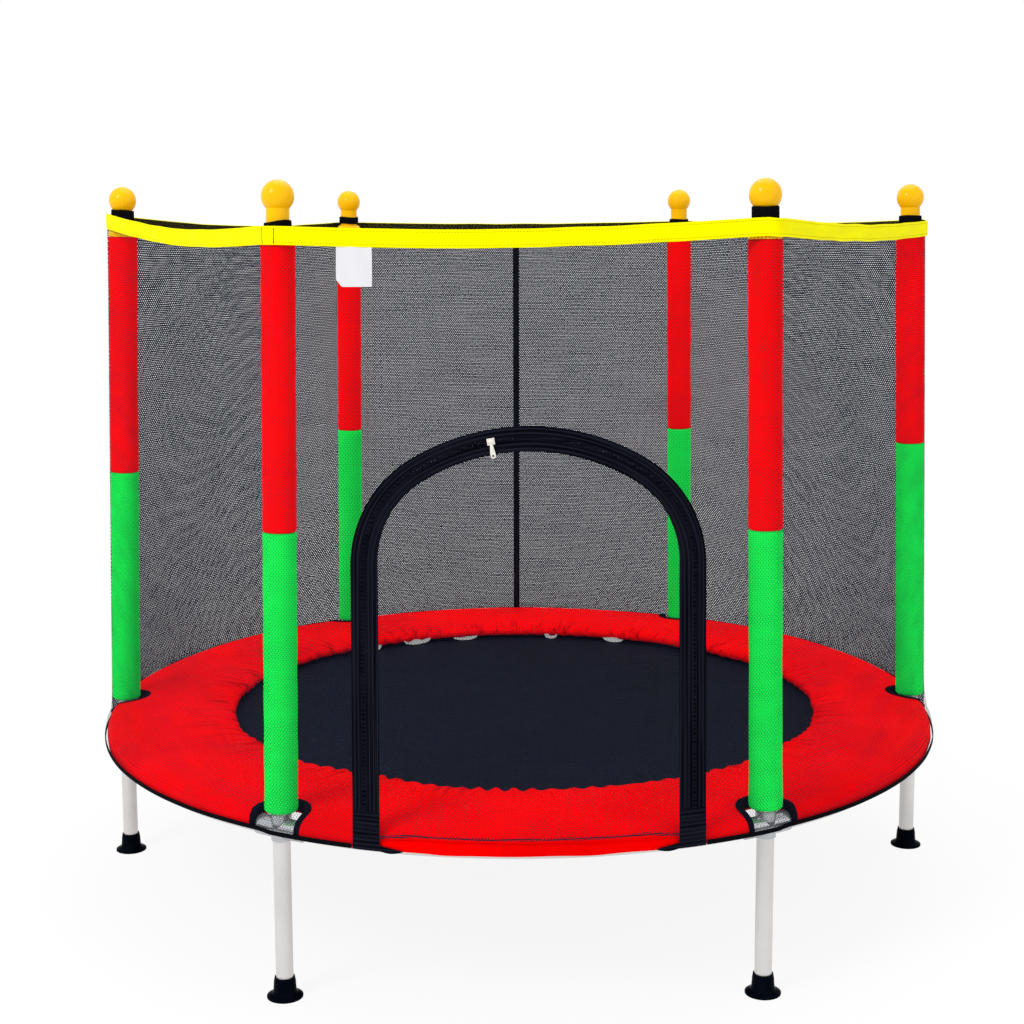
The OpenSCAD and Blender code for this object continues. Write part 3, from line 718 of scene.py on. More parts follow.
def mat_material(settings):
    """Woven polypropylene: flat yarns crossing every 1.6 mm, with a faint band where a yarn is thicker; painted shade
    in the weave's hollows and a painted highlight on its raised yarns.
    """
    base = tuple(settings.weave)
    s = Shades("mat_weave", Specular_IOR_Level=0.014)
    at = s.place()
    height = s.weave(at, 0.0032)
    slub = s.math("MULTIPLY", s.noise(s.place((1, 60, 1)), 9.0, 2.0), s.noise(s.place((60, 1, 1)), 9.0, 2.0))
    worn = s.noise(at, 5.0, 4.0)
    s.bump(height, 0.5, 0.0005)
    # Painted shade and highlight: the fine weave is darker where its bump is low and lighter where it is high
    tone = s.mix(height, toned(base, 0.35), toned(base, 1.2))
    tone = s.blend(s.weave(at, 0.0120), 0.5, 1.0, tone, toned(base, 2.1), 0.4)
    tone = s.blend(slub, 0.2, 0.4, tone, toned(base, 1.7), 0.5)
    tone = s.blend(worn, 0.4, 0.7, tone, toned(base, 1.4, 0.001), 0.35)
    return s.finish(tone, worn, 0.5, 0.68)


def vinyl_material(settings):
    """Coated woven cover: slanting yarns under the coat, creases by the mat darkened with painted shade, rubbed lighter
    here and there.
    """
    base = tuple(settings.cover)
    s = Shades("pad_vinyl", Specular_IOR_Level=0.002)
    slant = s.weave(s.place(turn=math.radians(38)), 0.0026)
    cloud = s.noise(s.place(), 6.0, 4.0, 0.55)
    rub = s.noise(s.place((1, 1, 2)), 38.0, 5.0, 0.65)
    by_edge = s.between(s.from_axis(), 1.0, 0.0, 0.500, 0.580)
    crease_and_shade = s.noise(s.on_cloth((5, 230, 1)), 1.0, 3.0, 0.6)
    height = s.math("ADD", s.math("MULTIPLY", slant, 0.35), rub)
    s.bump(s.math("ADD", height, s.math("MULTIPLY", s.math("MULTIPLY", crease_and_shade, by_edge), 6.0)), 0.26, 0.0009)
    tone = s.blend(cloud, 0.35, 0.65, toned(base, 0.84), base)
    # Painted shade: the creases near the inner edge are darkened in the colour
    painted_crease_shade = s.math("MULTIPLY", s.between(crease_and_shade, 0.75, 0.0, 0.36, 0.47), by_edge)
    tone = s.mix(painted_crease_shade, tone, toned(base, 0.30))
    tone = s.blend(rub, 0.55, 0.8, tone, (min(1, base[0] * 1.08), 0.003, 0.0025), 0.28)
    return s.finish(tone, rub, 0.36, 0.52)


def net_material(name, settings, covered):
    """Knitted net: rows of staggered oval meshes, its threads shown and the holes clear."""
    s = Shades(name, Specular_IOR_Level=0.0, Roughness=0.65)
    at = s.add("UVMap", uv_map="cloth").outputs[0]
    parts = s.parts(at)
    drift = s.noise(s.mapped(at, (14, 60, 1)), 1.0, 2.0)
    shift = s.math("MULTIPLY", s.math("SUBTRACT", drift, 0.5), settings.cell_h * 1.6)
    v = s.math("DIVIDE", s.math("ADD", parts[1], shift), settings.cell_h)
    u = s.math("ADD", s.math("DIVIDE", parts[0], settings.cell_w), s.math("MULTIPLY", s.math("FLOOR", v), 0.5))
    # A hole is an oval of the fourth power, whose area is 3.7 times its half width and half height
    hole = 1 - covered
    half_w = min(0.47, 0.56 * math.sqrt(hole / 0.93))
    powers = []
    for value, half in ((u, half_w), (v, hole / (3.7 * half_w))):
        off = s.math("SUBTRACT", s.math("FRACT", value), 0.5)
        powers.append(s.math("POWER", s.math("ABSOLUTE", s.math("DIVIDE", off, half)), 4.0))
    loose = s.between(s.noise(s.mapped(at, (9, 34, 1)), 1.0), 0.88, 1.15, 0.3, 0.7)
    thread = s.math("GREATER_THAN", s.math("ADD", *powers), loose)
    tone = s.mix(s.noise(s.place(), 420.0, 2.0), toned(settings.thread, 0.6), toned(settings.thread, 1.8))
    return s.use(Base_Color=tone, Alpha=thread)


def band_material(settings):
    """Yellow coated fabric with a fine weave and soft creases, the creases darkened with painted shade."""
    base = tuple(settings.band)
    s = Shades("band_yellow", Specular_IOR_Level=0.012)
    crease_and_shade = s.noise(s.on_cloth((6, 30, 1)), 2.0, 4.0, 0.6)
    s.bump(s.math("ADD", s.math("MULTIPLY", s.weave(s.on_cloth(), 0.0014), 0.2), crease_and_shade), 0.3, 0.0012)
    # Painted shade: the colour is darker where the creases' bump is low
    return s.finish(s.blend(crease_and_shade, 0.3, 0.7, toned(base, 0.88), base), crease_and_shade, 0.42, 0.58)


def tape_material(settings):
    """Zip tape: fine cross ribs and long ridges on the strip's own length and width, with painted shade and highlight
    on its folds and painted highlight lines on its ridges.
    """
    base = tuple(settings.tape)
    s = Shades("zip_black", Specular_IOR_Level=0.012)
    rib = s.weave(s.on_cloth(turn=math.radians(45)), 0.0015)
    fold_and_shade = s.noise(s.on_cloth((4, 160, 1)), 1.5)
    s.bump(s.math("ADD", s.math("MULTIPLY", rib, 0.3), fold_and_shade), 0.5, 0.0009)
    painted_ridge_highlight = s.waves(s.math("ABSOLUTE", s.parts(s.on_cloth())[1]), 0.0058)
    # Painted shade and highlight: the folds are darker where their bump is low and lighter where it is high; the ridge
    # lines are painted highlights
    tone = s.blend(fold_and_shade, 0.4, 0.65, toned(base, 0.6), toned(base, 1.8, 0.002))
    tone = s.blend(painted_ridge_highlight, 0.45, 1.0, tone, toned(base, 4, 0.008), 0.55)
    return s.finish(tone, fold_and_shade, 0.5, 0.7)


def thread_material(name="thread_black", base=(0.014, 0.014, 0.018)):
    s = Shades(name, Specular_IOR_Level=0.03)
    twist_and_shade = s.noise(s.place(), 1600.0, 2.0)
    s.bump(twist_and_shade, 0.3, 0.0002)
    # Painted shade: the thread is darker in the hollows of its twist
    return s.use(Base_Color=s.mix(twist_and_shade, toned(base, 0.5), base), Roughness=0.6)


def metal_material(name, base, rough):
    s = Shades(name, Metallic=0.85)
    tarnish = s.noise(s.place(), 320.0, 4.0)
    s.bump(tarnish, 0.1, 0.0002)
    return s.finish(s.blend(tarnish, 0.4, 0.75, base, toned(base, 0.72)), tarnish, rough * 0.8, rough * 1.3)


def lining_material():
    """Dark lining inside the band: coarse black weave with olive flecks where the band shows through."""
    s = Shades("band_lining", Specular_IOR_Level=0.03)
    weave = s.weave(s.on_cloth(), 0.0024)
    s.bump(weave, 0.4, 0.0004)
    tone = s.blend(s.noise(s.on_cloth(), 420.0), 0.52, 0.66, (0.007, 0.007, 0.006), (0.11, 0.10, 0.012))
    return s.finish(tone, weave, 0.6, 0.8, 0.0, 1.0)


def label_material():
    """Blank satin label with a faint ribbed weave, the ribs' hollows darkened with painted shade."""
    s = Shades("blank_label", Specular_IOR_Level=0.08)
    rib = s.weave(s.on_cloth(), 0.0008)
    s.bump(rib, 0.2, 0.0002)
    # Painted shade: the label is darker where its rib bump is low
    return s.use(Base_Color=s.mix(rib, (0.66, 0.66, 0.69), (0.73, 0.73, 0.76)), Roughness=0.5)


def floor_material(settings):
    """Pale floor that keeps the object's shadow and fades into the white room further out."""
    s = Shades("studio_floor", Specular_IOR_Level=0.0, Roughness=0.9)
    s.use(Base_Color=s.blend(s.noise(s.place(), 3.0, 2.0), 0.0, 1.0, tuple(settings.floor),
                             toned(settings.floor, 0.99), 0.2))
    fade = s.between(s.from_axis(), 0.0, 1.0, 0.6, 2.6, interpolation_type="SMOOTHSTEP")
    glow = s.add("Emission", {"Color": (1, 1, 1), "Strength": 1.0}).outputs[0]
    share = s.math("MULTIPLY", s.eye_ray(), s.between(fade, 0.90, 1.0))
    mixed = s.add("MixShader", {0: share, 1: s.shader.outputs[0], 2: glow})
    output = next(n for n in s.tree.nodes if n.type == "OUTPUT_MATERIAL")
    s.set(output, "Surface", mixed.outputs[0])
    return s.material


# ---- Pieces ----

def pole_angle(i):
    return math.radians(-180 + SECTOR * i)


def about(turn):
    return Matrix.Rotation(turn, 4, "Z")


def along_pole(i):
    """Matrix of pole i: origin at the ring's middle, +Z up the leaning pole."""
    return about(pole_angle(i)) @ Matrix.Translation((RING_R, 0, RING_Z)) @ Matrix.Rotation(-LEAN, 4, "Y")


def paint(node, material):
    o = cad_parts[node]
    if not o.data.materials:
        o.data.materials.append(material)
    for slot in o.material_slots:
        slot.material = material


class FinishMetal(bpy.types.Operator):
    """Gives the steel frame, feet, screws, rings and zip their finishes"""
    bl_idname = "trampoline.finish_metal"
    bl_label = "Finish frame and fittings"

    def execute(self, context):
        tube = steel_material("steel_tube", (0.70, 0.69, 0.675), 0.34, (30, 30, 4), 0.6)
        chrome = steel_material("joint_steel", (0.50, 0.51, 0.54), 0.26, metallic=0.75)
        wire = steel_material("spring_steel", (0.72, 0.73, 0.75), 0.2)
        rubber = rubber_material("foot_rubber", (0.001, 0.0018, 0.005))
        gilt = metal_material("zip_metal", (0.93, 0.90, 0.80), 0.24)
        caps = plastic_material("cap_plastic", tuple(context.scene.tramp_poles.cap), 0.12)
        sixes = {"ring_tube": tube, "leg": tube, "pole": tube, "tee_joint": chrome, "pole_cap": caps}
        singles = {"feet": rubber, "joint_screws": chrome, "mat_rings": wire, "zip_slider": gilt, "zip_pull": gilt}
        for i in range(1, POLES + 1):
            singles.update({f"{name}_{i}": material for name, material in sixes.items()})
        for name, material in singles.items():
            paint(name, material)
        return {"FINISHED"}


def sleeve(name, low, high, seed):
    """Foam tube with rounded ends and faint waists where the foam was squeezed."""
    bore = TUBE_R + 0.0004
    start = bore if low > FOAM_START else 0.0152
    soft = 0.0022
    waist = wave(seed, 4, 1, 5)
    body = [(FOAM_R - 0.0004 + 0.0004 * float(waist(2 * math.pi * (z - low) / (high - low))), z)
            for z in np.linspace(low + 0.012, high - 0.012, 15)]
    outline = [(start, low + 0.001), (start + 0.002, low), (FOAM_R - soft, low + 0.0002), (FOAM_R - 0.0006, low + soft),
               (FOAM_R, low + 0.005), *body, (FOAM_R, high - 0.004), (FOAM_R - 0.0005, high - 0.0018),
               (FOAM_R - soft, high - 0.0002), (bore + 0.002, high), (bore, high - 0.001), (bore, low + 0.0012),
               (start, low + 0.001)]
    return turned(name, outline, 48)


class WrapPoles(bpy.types.Operator):
    """Makes the green and red foam sleeves on the six poles"""
    bl_idname = "trampoline.wrap_poles"
    bl_label = "Foam sleeves"

    def execute(self, context):
        p = context.scene.tramp_poles
        green = foam_material("foam_green", tuple(p.lower))
        red = foam_material("foam_red", tuple(p.upper))
        for i in range(1, POLES + 1):
            change = p.change + (p.odd_change if i == 3 else 0)
            for name, low, high, material, slot in (
                    ("lower", FOAM_START, change, green, "foam_green"),
                    ("upper", change, POLE_LEN, red, "foam_red")):
                o = sleeve(f"sleeve_{name}_{i}", low, high, 10 * i + len(name))
                move(o, along_pole(i))
                complete(o, material, "frame", [f"foam_{name}_{i}"], 50)
        return {"FINISHED"}


class TieLoops(bpy.types.Operator):
    """Makes the black elastic loops that tie the net's top to the caps"""
    bl_idname = "trampoline.tie_loops"
    bl_label = "Elastic loops"

    def execute(self, context):
        elastic = webbing_material("elastic_black", (0.004, 0.004, 0.005), 0.0013)
        turn = np.linspace(0, 2 * math.pi, 49)[:-1, None]
        made = []
        for i in range(1, POLES + 1):
            up, tall, lean = mm(LOOP_PLACES[i])
            low = POLE_LEN + 0.0143 + up
            r, z = np.array([(0.0162, 0), (0.0166, -0.0002), (0.0184, 0), (0.0188, 0.0016), (0.0189, tall / 2),
                             (0.0188, tall - 0.0016), (0.0184, tall), (0.0166, tall + 0.0002), (0.0162, tall),
                             (0.0161, tall / 2)]).T
            leaned = lean * np.cos(turn + pole_angle(i)) * (0.4 + 0.6 * z / tall)
            ring = loop_of("elastic", around(r, turn, low + z + 0.0006 * wave(40 + i, 3, 1, 2)(turn) + leaned))
            start = low + lean * math.cos(pole_angle(i))
            path = mm([(18, 3.6), (20.5, 3), (23, 1.6), (25.2, 0.8), (BAND_CORNER[i] * 1000 + 0.3, -0.6)])
            tab = strip("tab", [[(x, y, start + z + rise) for y, rise in mm(LOOP_TAB)] for x, z in path])
            made.append(joined("elastic", [ring, tab]))
            move(made[-1], along_pole(i))
        complete(joined("net_elastic_loops", made), elastic, "frame", ["elastic_loops"])
        return {"FINISHED"}


class LayMat(bpy.types.Operator):
    """Makes the woven mat and its folded webbing with the ring tabs"""
    bl_idname = "trampoline.lay_mat"
    bl_label = "Mat and webbing"

    def execute(self, context):
        p = context.scene.tramp_mat
        deselect()
        bpy.ops.mesh.primitive_circle_add(vertices=144, radius=p.radius, fill_type="NGON", location=(0, 0, RING_Z))
        mat = named(bpy.context.object, "jumping_mat")
        bpy.ops.object.transform_apply(location=True)
        edit(mat)
        for step in (0.03, 0.06, 0.1, 0.12, 0.12):
            bpy.ops.mesh.inset(thickness=step, depth=0)
        bpy.ops.mesh.poke()
        bpy.ops.object.mode_set(mode="OBJECT")
        thicken(mat, 0.0012, 0)
        complete(mat, mat_material(p), "mat", ["mat"], 30)

        a = np.linspace(0, 2 * math.pi, 720, endpoint=False)[:, None]
        pucker = wave(5, 5, 60, 110)(a)
        out, up = mm(WEBBING).T
        pieces = [loop_of("webbing", around(p.radius + out + 0.00025 * pucker, a, RING_Z + up * (1 + 0.05 * pucker)))]
        tab = strip("tab", [[(p.radius + x, y, RING_Z + high * share) for x, high in mm(RING_TAB)] for y, share in (
            (-0.0075, 0.96), (-0.0060, 1), (0, 1.02), (0.0060, 1), (0.0075, 0.96))])
        pitch = 2 * math.pi / p.springs
        pieces += [copy_of(tab, f"tab_{k}", about(pitch * (k + 0.5))) for k in range(p.springs)]
        discard(tab)
        webbing = joined("mat_edge_webbing", pieces)
        complete(webbing, webbing_material("webbing_black", (0.007, 0.007, 0.009), 0.0018), "mat",
                 ["mat_webbing"])
        rows = []
        for radius in (p.radius - 0.0245, p.radius - 0.0045):
            turn = np.arange(0, 2 * math.pi, 0.0042 / radius)
            for side in (-1.0, 1.0):
                rows.append(stitches_on(around(radius, turn, RING_Z + side * 0.00232),
                                        np.tile((0, 0, side), (len(turn), 1)), (3, 0.8, 0.4)))
        stitches = stitched("mat_stitching", rows)
        complete(stitches, thread_material(), "mat")
        return {"FINISHED"}


class HookSprings(bpy.types.Operator):
    """Makes the coiled springs with their hooks, each from the ring tube to a ring of the mat"""
    bl_idname = "trampoline.hook_springs"
    bl_label = "Springs"

    def execute(self, context):
        p = context.scene.tramp_mat
        wire = 0.0013
        coil_r = 0.0065 - wire
        inner, outer = 0.5865, 0.6590
        turns = np.linspace(0, 1, p.turns * 14 + 1)
        a = turns * p.turns * 2 * math.pi + math.pi / 2
        ease = np.minimum(1, np.minimum(turns, 1 - turns) * p.turns / 0.6)
        grip = coil_r * (0.35 + 0.65 * np.sin(ease * math.pi / 2))
        coil = np.stack([inner + turns * (outer - inner), grip * np.cos(a), grip * np.sin(a)], axis=-1)
        path = np.concatenate([mm(HOOK_IN), coil, mm(HOOK_OUT)]) + (0, 0, RING_Z)
        curve = bpy.data.curves.new("spring", "CURVE")
        curve.dimensions = "3D"
        line = curve.splines.new("POLY")
        line.points.add(len(path) - 1)
        line.points.foreach_set("co", np.concatenate([path, np.ones((len(path), 1))], axis=1).reshape(-1))
        curve.bevel_depth = wire
        curve.bevel_resolution = 1
        curve.use_fill_caps = True
        model = bpy.data.objects.new("spring", curve)
        bpy.context.scene.collection.objects.link(model)
        pick(model)
        bpy.ops.object.convert(target="MESH")
        model = bpy.context.object
        pitch = 2 * math.pi / p.springs
        for k in range(p.springs):
            turn = about(pitch * (k + 0.5))
            o = copy_of(model, f"spring_{k + 1}", turn)
            complete(o, bpy.data.materials["spring_steel"], None, ["springs"], 60)
            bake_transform(o)
        discard(model)
        return {"FINISHED"}


class SewPad(bpy.types.Operator):
    """Makes the red safety pad with its gathers, rolled rim and gaps, and the bindings round the gaps"""
    bl_idname = "trampoline.sew_pad"
    bl_label = "Safety pad"

    turns = np.linspace(0, math.pi, 33)
    arc = [(WINDOW_X - WINDOW_DEPTH * math.sin(t), WINDOW_HALF * math.cos(t)) for t in turns]

    def execute(self, context):
        p = context.scene.tramp_pad
        pad = loop_of("safety_pad_cover", self.surface(p))
        outline = [(0.74, WINDOW_HALF), *self.arc, (0.74, -WINDOW_HALF)]
        cutters = []
        for i in range(1, POLES + 1):
            deselect()
            bpy.ops.mesh.primitive_circle_add(vertices=len(outline), fill_type="NGON")
            cutter = bpy.context.object
            place_vertices(cutter, [(x, y, PAD_Z - 0.04) for x, y in outline])
            edit(cutter)
            bpy.ops.mesh.extrude_region_move(TRANSFORM_OT_translate={"value": (0, 0, 0.08)})
            face_outwards()
            move(cutter, about(pole_angle(i)))
            cutters.append(cutter)
        cutter = joined("gap_cutter", cutters)
        apply_modifier(pad, "BOOLEAN", operation="DIFFERENCE", object=cutter, solver="EXACT")
        discard(cutter)
        complete(pad, vinyl_material(p), "frame", ["safety_pad"], 50)

        made = []
        for i in range(1, POLES + 1):
            made.append(self.binding(i))
            move(made[-1], about(pole_angle(i)))
        complete(joined("pad_gap_bindings", made), webbing_material("binding_black", tuple(p.binding), 0.0015),
                 "frame", ["pad_bindings"])
        # White strips under the pad's inner edge: painted glints of the springs
        self.lining()
        return {"FINISHED"}

    def surface(self, p):
        """The pad's points: gathers at the inner edge, waves on top and on the rim, and its slight shift."""
        a = np.linspace(0, 2 * math.pi, 1260, endpoint=False)[:, None]
        degrees = np.degrees(a)
        r, z = mm(PAD_TOP + PAD_UNDER).T
        is_top = np.arange(len(r)) < len(PAD_TOP)
        inward = (1 - ramp(r, PAD_INNER_R, 0.045)) ** 1.6
        reach = is_top * (1 - ramp(r, PAD_INNER_R, 0.15)) * (1 - inward)
        rim = is_top * ramp(r, 0.69, 0.015)
        flat = is_top * ramp(r, 0.53, 0.06) * (1 - rim)
        lifted = ~is_top * ramp(r, 0.655, 0.01) * ramp(r, 0.7, -0.004)
        weight = (1 - ramp(r, PAD_INNER_R, 0.16)) ** 1.3
        fine = 0.55 * np.sin(p.gathers * a + 1.7 * wave(3, 4, 3, 11)(a)) + 0.45 * wave(7, 6, 45, 140)(a)
        broad = wave(11, 7, 9, 40)(a)
        z = z + is_top * inward * p.gather_depth * 0.8 * np.roll(fine, 5, axis=0) + reach * 0.0016 * broad
        z = z + flat * 0.0009 * wave(13, 5, 2, 8)(a) + rim * 0.0005 * wave(17, 6, 20, 70)(a)
        z = z + 0.0024 * ramp(np.abs(from_pole(degrees)), 5.5, -1.5) * lifted
        r = r + inward * p.gather_depth * (0.8 * fine + 0.5 * broad) + rim * 0.0004 * wave(19, 6, 15, 60)(a)
        pulled = 0.014 * np.exp(-((degrees - 242) / 11) ** 2)
        shift = pad_shift(a) + 0.003 - pulled
        return around(rim_r(degrees, r) + shift * weight, a, PAD_Z + z)

    def binding(self, i):
        """Bar of folded tape round gap i, from the rim on one side round the pole to the rim on the other."""
        pole = math.degrees(pole_angle(i))
        outer = mm(PAD_TOP[PAD_RIM:])
        legs = []
        for side in (1, -1):
            leg = [(math.sqrt(r ** 2 - WINDOW_HALF ** 2), side * WINDOW_HALF, z, 0.0, side) for r, z in
                   zip(rim_r(pole + side * 3.1, outer[:, 0]), outer[:, 1])]
            legs.append([q for q in leg if q[0] > WINDOW_X + 0.0005])
        round_pole = [(x, y, None, -math.sin(t), math.cos(t)) for (x, y), t in zip(self.arc, self.turns)]
        rows = []
        for x, y, z, nx, ny in (*reversed(legs[0]), *round_pole, *legs[1]):
            row = []
            for out, up in mm(BINDING):
                px, py = x + nx * out, y + ny * out
                if z is None:
                    row.append((px, py, max(float(pad_top_z(math.hypot(px, py))) + up, PAD_Z + 0.0024)))
                    continue
                steep = float(ramp(z, 0.006, -0.012))
                row.append((px + steep * max(up, -0.005) * 0.6, py, PAD_Z + z + max(up, -0.008) * (1 - 0.6 * steep)))
            rows.append(row)
        return strip("binding", rows)

    def lining(self):
        """White strips below the pad's inner edge in a few places at the back: painted glints of the springs under it.
        """
        made = []
        for middle, wide in ((122.7, 1.4), (113.0, 6.4), (101.6, 5.6), (82.0, 2.8), (67.6, 4.8)):
            t = np.linspace(-1, 1, 15)[:, None]
            a = np.radians(middle + t * wide / 2)
            deep = 0.0010 + 0.0075 * np.sqrt(1 - t ** 2)
            r = PAD_INNER_R + 0.0045 + pad_shift(a) + mm((0, 0, 1.2, 2))
            made.append(strip("lining", around(r, a, PAD_Z + mm((-2, -3, -3.6, -2)) - deep * (0, 1, 1, 0))))
        # Painted glints: plain white pieces where the springs glint under the pad
        complete(joined("pad_painted_glints", made), thread_material("painted_glint_white", (0.85, 0.85, 0.85)), "frame")


def sheer(o):
    """Lets lamp light through a net, which its open meshes do not dim."""
    o.visible_shadow = False
    o.visible_diffuse = False


class HangNet(bpy.types.Operator):
    """Makes the side and back sheets of the net, its back seam, hem, band, stitches and blank tag"""
    bl_idname = "trampoline.hang_net"
    bl_label = "Net, band and hem"

    # Each sheet's first pole, where it starts and ends in degrees from that pole, and its share of the full width
    spans = {"side_right_front": (2, 0, 60, 1), "side_right_back": (3, 0, 60, 1), "back_right": (4, 0, 30, 0.5),
             "back_left": (4, 30, 60, 0.5), "side_left_back": (5, 0, 60, 1), "side_left_front": (6, 0, 60, 1)}

    def execute(self, context):
        p = context.scene.tramp_net
        mesh = {"front": net_material("net_open", p, p.open_cover), "back": net_material("net_close", p, p.close_cover),
                "side": net_material("net_side", p, p.close_cover - 0.035)}
        for name, (i, start, end, _) in self.spans.items():
            near = np.array([q for q in (0, 0.5, 1.0, CORNER_HALF, 1.8, 2.6, 3.6) if q < end - start])
            cols = np.linspace(start, end, int((end - start) / 1.5) + 1)
            if start == 0:
                cols = np.concatenate([near, cols[cols > 4.2]])
            if end == SECTOR:
                cols = np.concatenate([cols[cols < 55.8], SECTOR - near[::-1]])
            a, z = np.meshgrid(-180 + SECTOR * i + cols, NET_ROWS)
            side = "side" in name
            o = net_cloth(f"net_{name}", a, z, p.ripple, 0.86 if side else 1.0)
            thicken(o, NET_T, 0)
            complete(o, mesh["front" if "front" in name else "side" if side else "back"], "frame",
                     ["net_panels"], 60)
            sheer(o)

        seam = strip("net_back_seam", [[(x, float(net_r(90.0, z)) + out, float(raised(90.0, z)))
                                        for x, out in mm(SEAM)] for z in NET_ROWS[1:]])
        complete(seam, webbing_material("seam_black", (0.005, 0.005, 0.007), 0.0014), "frame")

        tape_half = context.scene.tramp_door.tape_w / 2 + 0.002
        first, last = (middle + math.degrees(math.asin((DOOR_X + side * (DOOR_HALF + tape_half)) / NET_FOOT_R))
                       for middle, side in ((-90, 1), (270, -1)))
        a = np.linspace(first, last, 361)[:, None]
        curl = wave(23, 5, 20, 60)(np.radians(a)) * 0.0003
        out, up = mm(HEM).T
        hem = strip("net_foot_hem", polar(net_r(a, NET_Z0) + out + curl * (0.3 + 80 * up), a, NET_Z0 + up))
        complete(hem, webbing_material("hem_black", (0.004, 0.004, 0.006), 0.0015), "frame",
                 ["net_hem"])

        extra = {"back_right": [seam, hem], "side_right_front": self.band(p)}
        self.tag()
        return {"FINISHED"}

    def band(self, p):
        """Makes the band with its stitches, the joint's seam at the front left pole, and its dark lining."""
        points, normals, sag = band_path()
        rise = band_rise(np.degrees(np.arctan2(points[:, 1], points[:, 0])))
        flutter = wave(31, 6, 18, 60)(np.linspace(0, 2 * math.pi, len(points), endpoint=False)) * sag
        along = lengths(np.concatenate([points, points[:1]]))
        level = np.concatenate([normals, np.zeros((len(points), 1))], axis=1)

        def line(out, up):
            """The band's path, stood off from the net and raised above the band's foot."""
            push = out + 0.0006 * flutter * math.sin(math.pi * max(up, 0) / BAND_H)
            return np.concatenate([points + normals * push[:, None],
                                   (BAND_Z + up + rise + 0.0004 * flutter)[:, None]], axis=1)

        def shell(name, section):
            up = [q[1] for q in [*section, section[0]]]
            return loop_of(name, np.stack([line(*q) for q in section], axis=1),
                           np.stack(np.meshgrid(up, along)[::-1], axis=-1))

        band = shell("net_top_band", mm(BAND))
        complete(band, band_material(p), "frame", ["top_band"])
        rows = [stitches_on(*evenly(line(0.00195, up), level, 0.0042), (3.2, 0.7, 0.35)) for up in (0.0035, 0.0212)]
        yellow = stitched("band_stitching", rows)
        complete(yellow, thread_material("thread_yellow", toned(p.band, 0.62)), "frame")

        rows = []
        front_left = toward(-120) * pole_r(BAND_Z)
        for offset, slope in ((-5.5, -0.0014), (10.5, 0.0012)):
            seam = front_left + BAND_CORNER[1] * toward(-120 + math.degrees(offset / 1000 / BAND_CORNER[1]))
            near = np.argmin(np.linalg.norm(points - seam, axis=1))
            n = level[near]
            z = np.arange(0.0012, 0.0235, 0.0026) + BAND_Z + rise[near]
            path = np.append(points[near], 0) + n * 0.00215 + np.outer(slope * (z - z[0]) / 0.026, (-n[1], n[0], 0))
            path[:, 2] = z
            rows.append(stitches_on(path, np.tile(n, (len(path), 1)), (2.6, 1.1, 0.6)))
        seams = stitched("band_seam_stitching", rows)
        complete(seams, thread_material(), "frame")

        lining = shell("band_lining", mm(BAND_LINING))
        complete(lining, lining_material(), "frame")
        return [band, yellow, seams, lining]

    def tag(self):
        """Blank tag sewn under the band at the front left, one lower corner turned up."""
        wide, tall = 0.048, 0.055
        left, top = -0.2498, 1.0655
        us, vs = np.meshgrid(np.linspace(0, 1, 17), np.linspace(0, 1, 19))
        curl = np.clip(0.16 - us - vs, 0, 1)
        out = 0.0014 + 0.0016 * np.sin(us * math.pi) * (1 - vs) + curl * 0.02 + 0.0006 * np.sin(us * 9 + vs * 4)
        points = front_point(left + us * wide + curl * 0.02, top - tall * (1 - vs) + curl * 0.05, out)
        o = cloth("blank_tag", points, np.stack([us * wide, vs * tall], axis=-1))
        thicken(o, 0.0003)
        complete(o, label_material(), "frame")


def band_path(round_steps=13, straight_steps=40):
    """Path round the band: points, outward normals, and how slack it is, 0 at a pole and 1 half way."""
    reach = pole_r(BAND_Z)
    points, normals, sag = [], [], []
    for i in range(1, POLES + 1):
        a = math.degrees(pole_angle(i))
        for t in np.linspace(-SECTOR / 2, SECTOR / 2, round_steps):
            n = toward(a + t)
            points.append(toward(a) * reach + n * BAND_CORNER[i])
            normals.append(n)
            sag.append(0.0)
        begin, end = points[-1], toward(a + SECTOR) * reach + n * BAND_CORNER[i % POLES + 1]
        for t in np.linspace(0, 1, straight_steps + 2)[1:-1]:
            points.append(begin + (end - begin) * t)
            normals.append(n)
            sag.append(math.sin(math.pi * t) ** 1.2)
    return np.array(points), np.array(normals), np.array(sag)


def evenly(path, others, pitch):
    """The same closed path at an even pitch, with the second list carried along."""
    path, others = (np.concatenate([q, q[:1]]) for q in (path, others))
    along = lengths(path)
    at = np.arange(0, along[-1], pitch)
    place, carried = (np.stack([np.interp(at, along, q[:, k]) for k in range(3)], axis=-1) for q in (path, others))
    return place, carried / np.maximum(np.linalg.norm(carried, axis=1, keepdims=True), 1e-9)


# ---- Door ----

def arch_top(x, grow):
    """Height of the door's arch above a sideways place, grown outward from the middle of the zip."""
    d = np.abs(x - DOOR_X)
    crown = CROWN_Z + np.sqrt(np.maximum((CROWN_R + grow) ** 2 - d ** 2, 0))
    shoulder = SPRING_LINE_Z + np.sqrt(np.maximum((SHOULDER_R + grow) ** 2 - (d - SHOULDER_X) ** 2, 0))
    return np.where(d < (CROWN_R + grow) * math.sin(SHOULDER_TURN), crown, shoulder)


def door_columns(grow):
    """Columns across the door, closer at its sides, and the arch above each, grown from the zip's middle."""
    x = DOOR_X - (DOOR_HALF + grow) * np.cos(np.linspace(0, math.pi, 65))
    top = arch_top(x, grow)
    top[0] = top[-1] = SPRING_LINE_Z
    return x, top


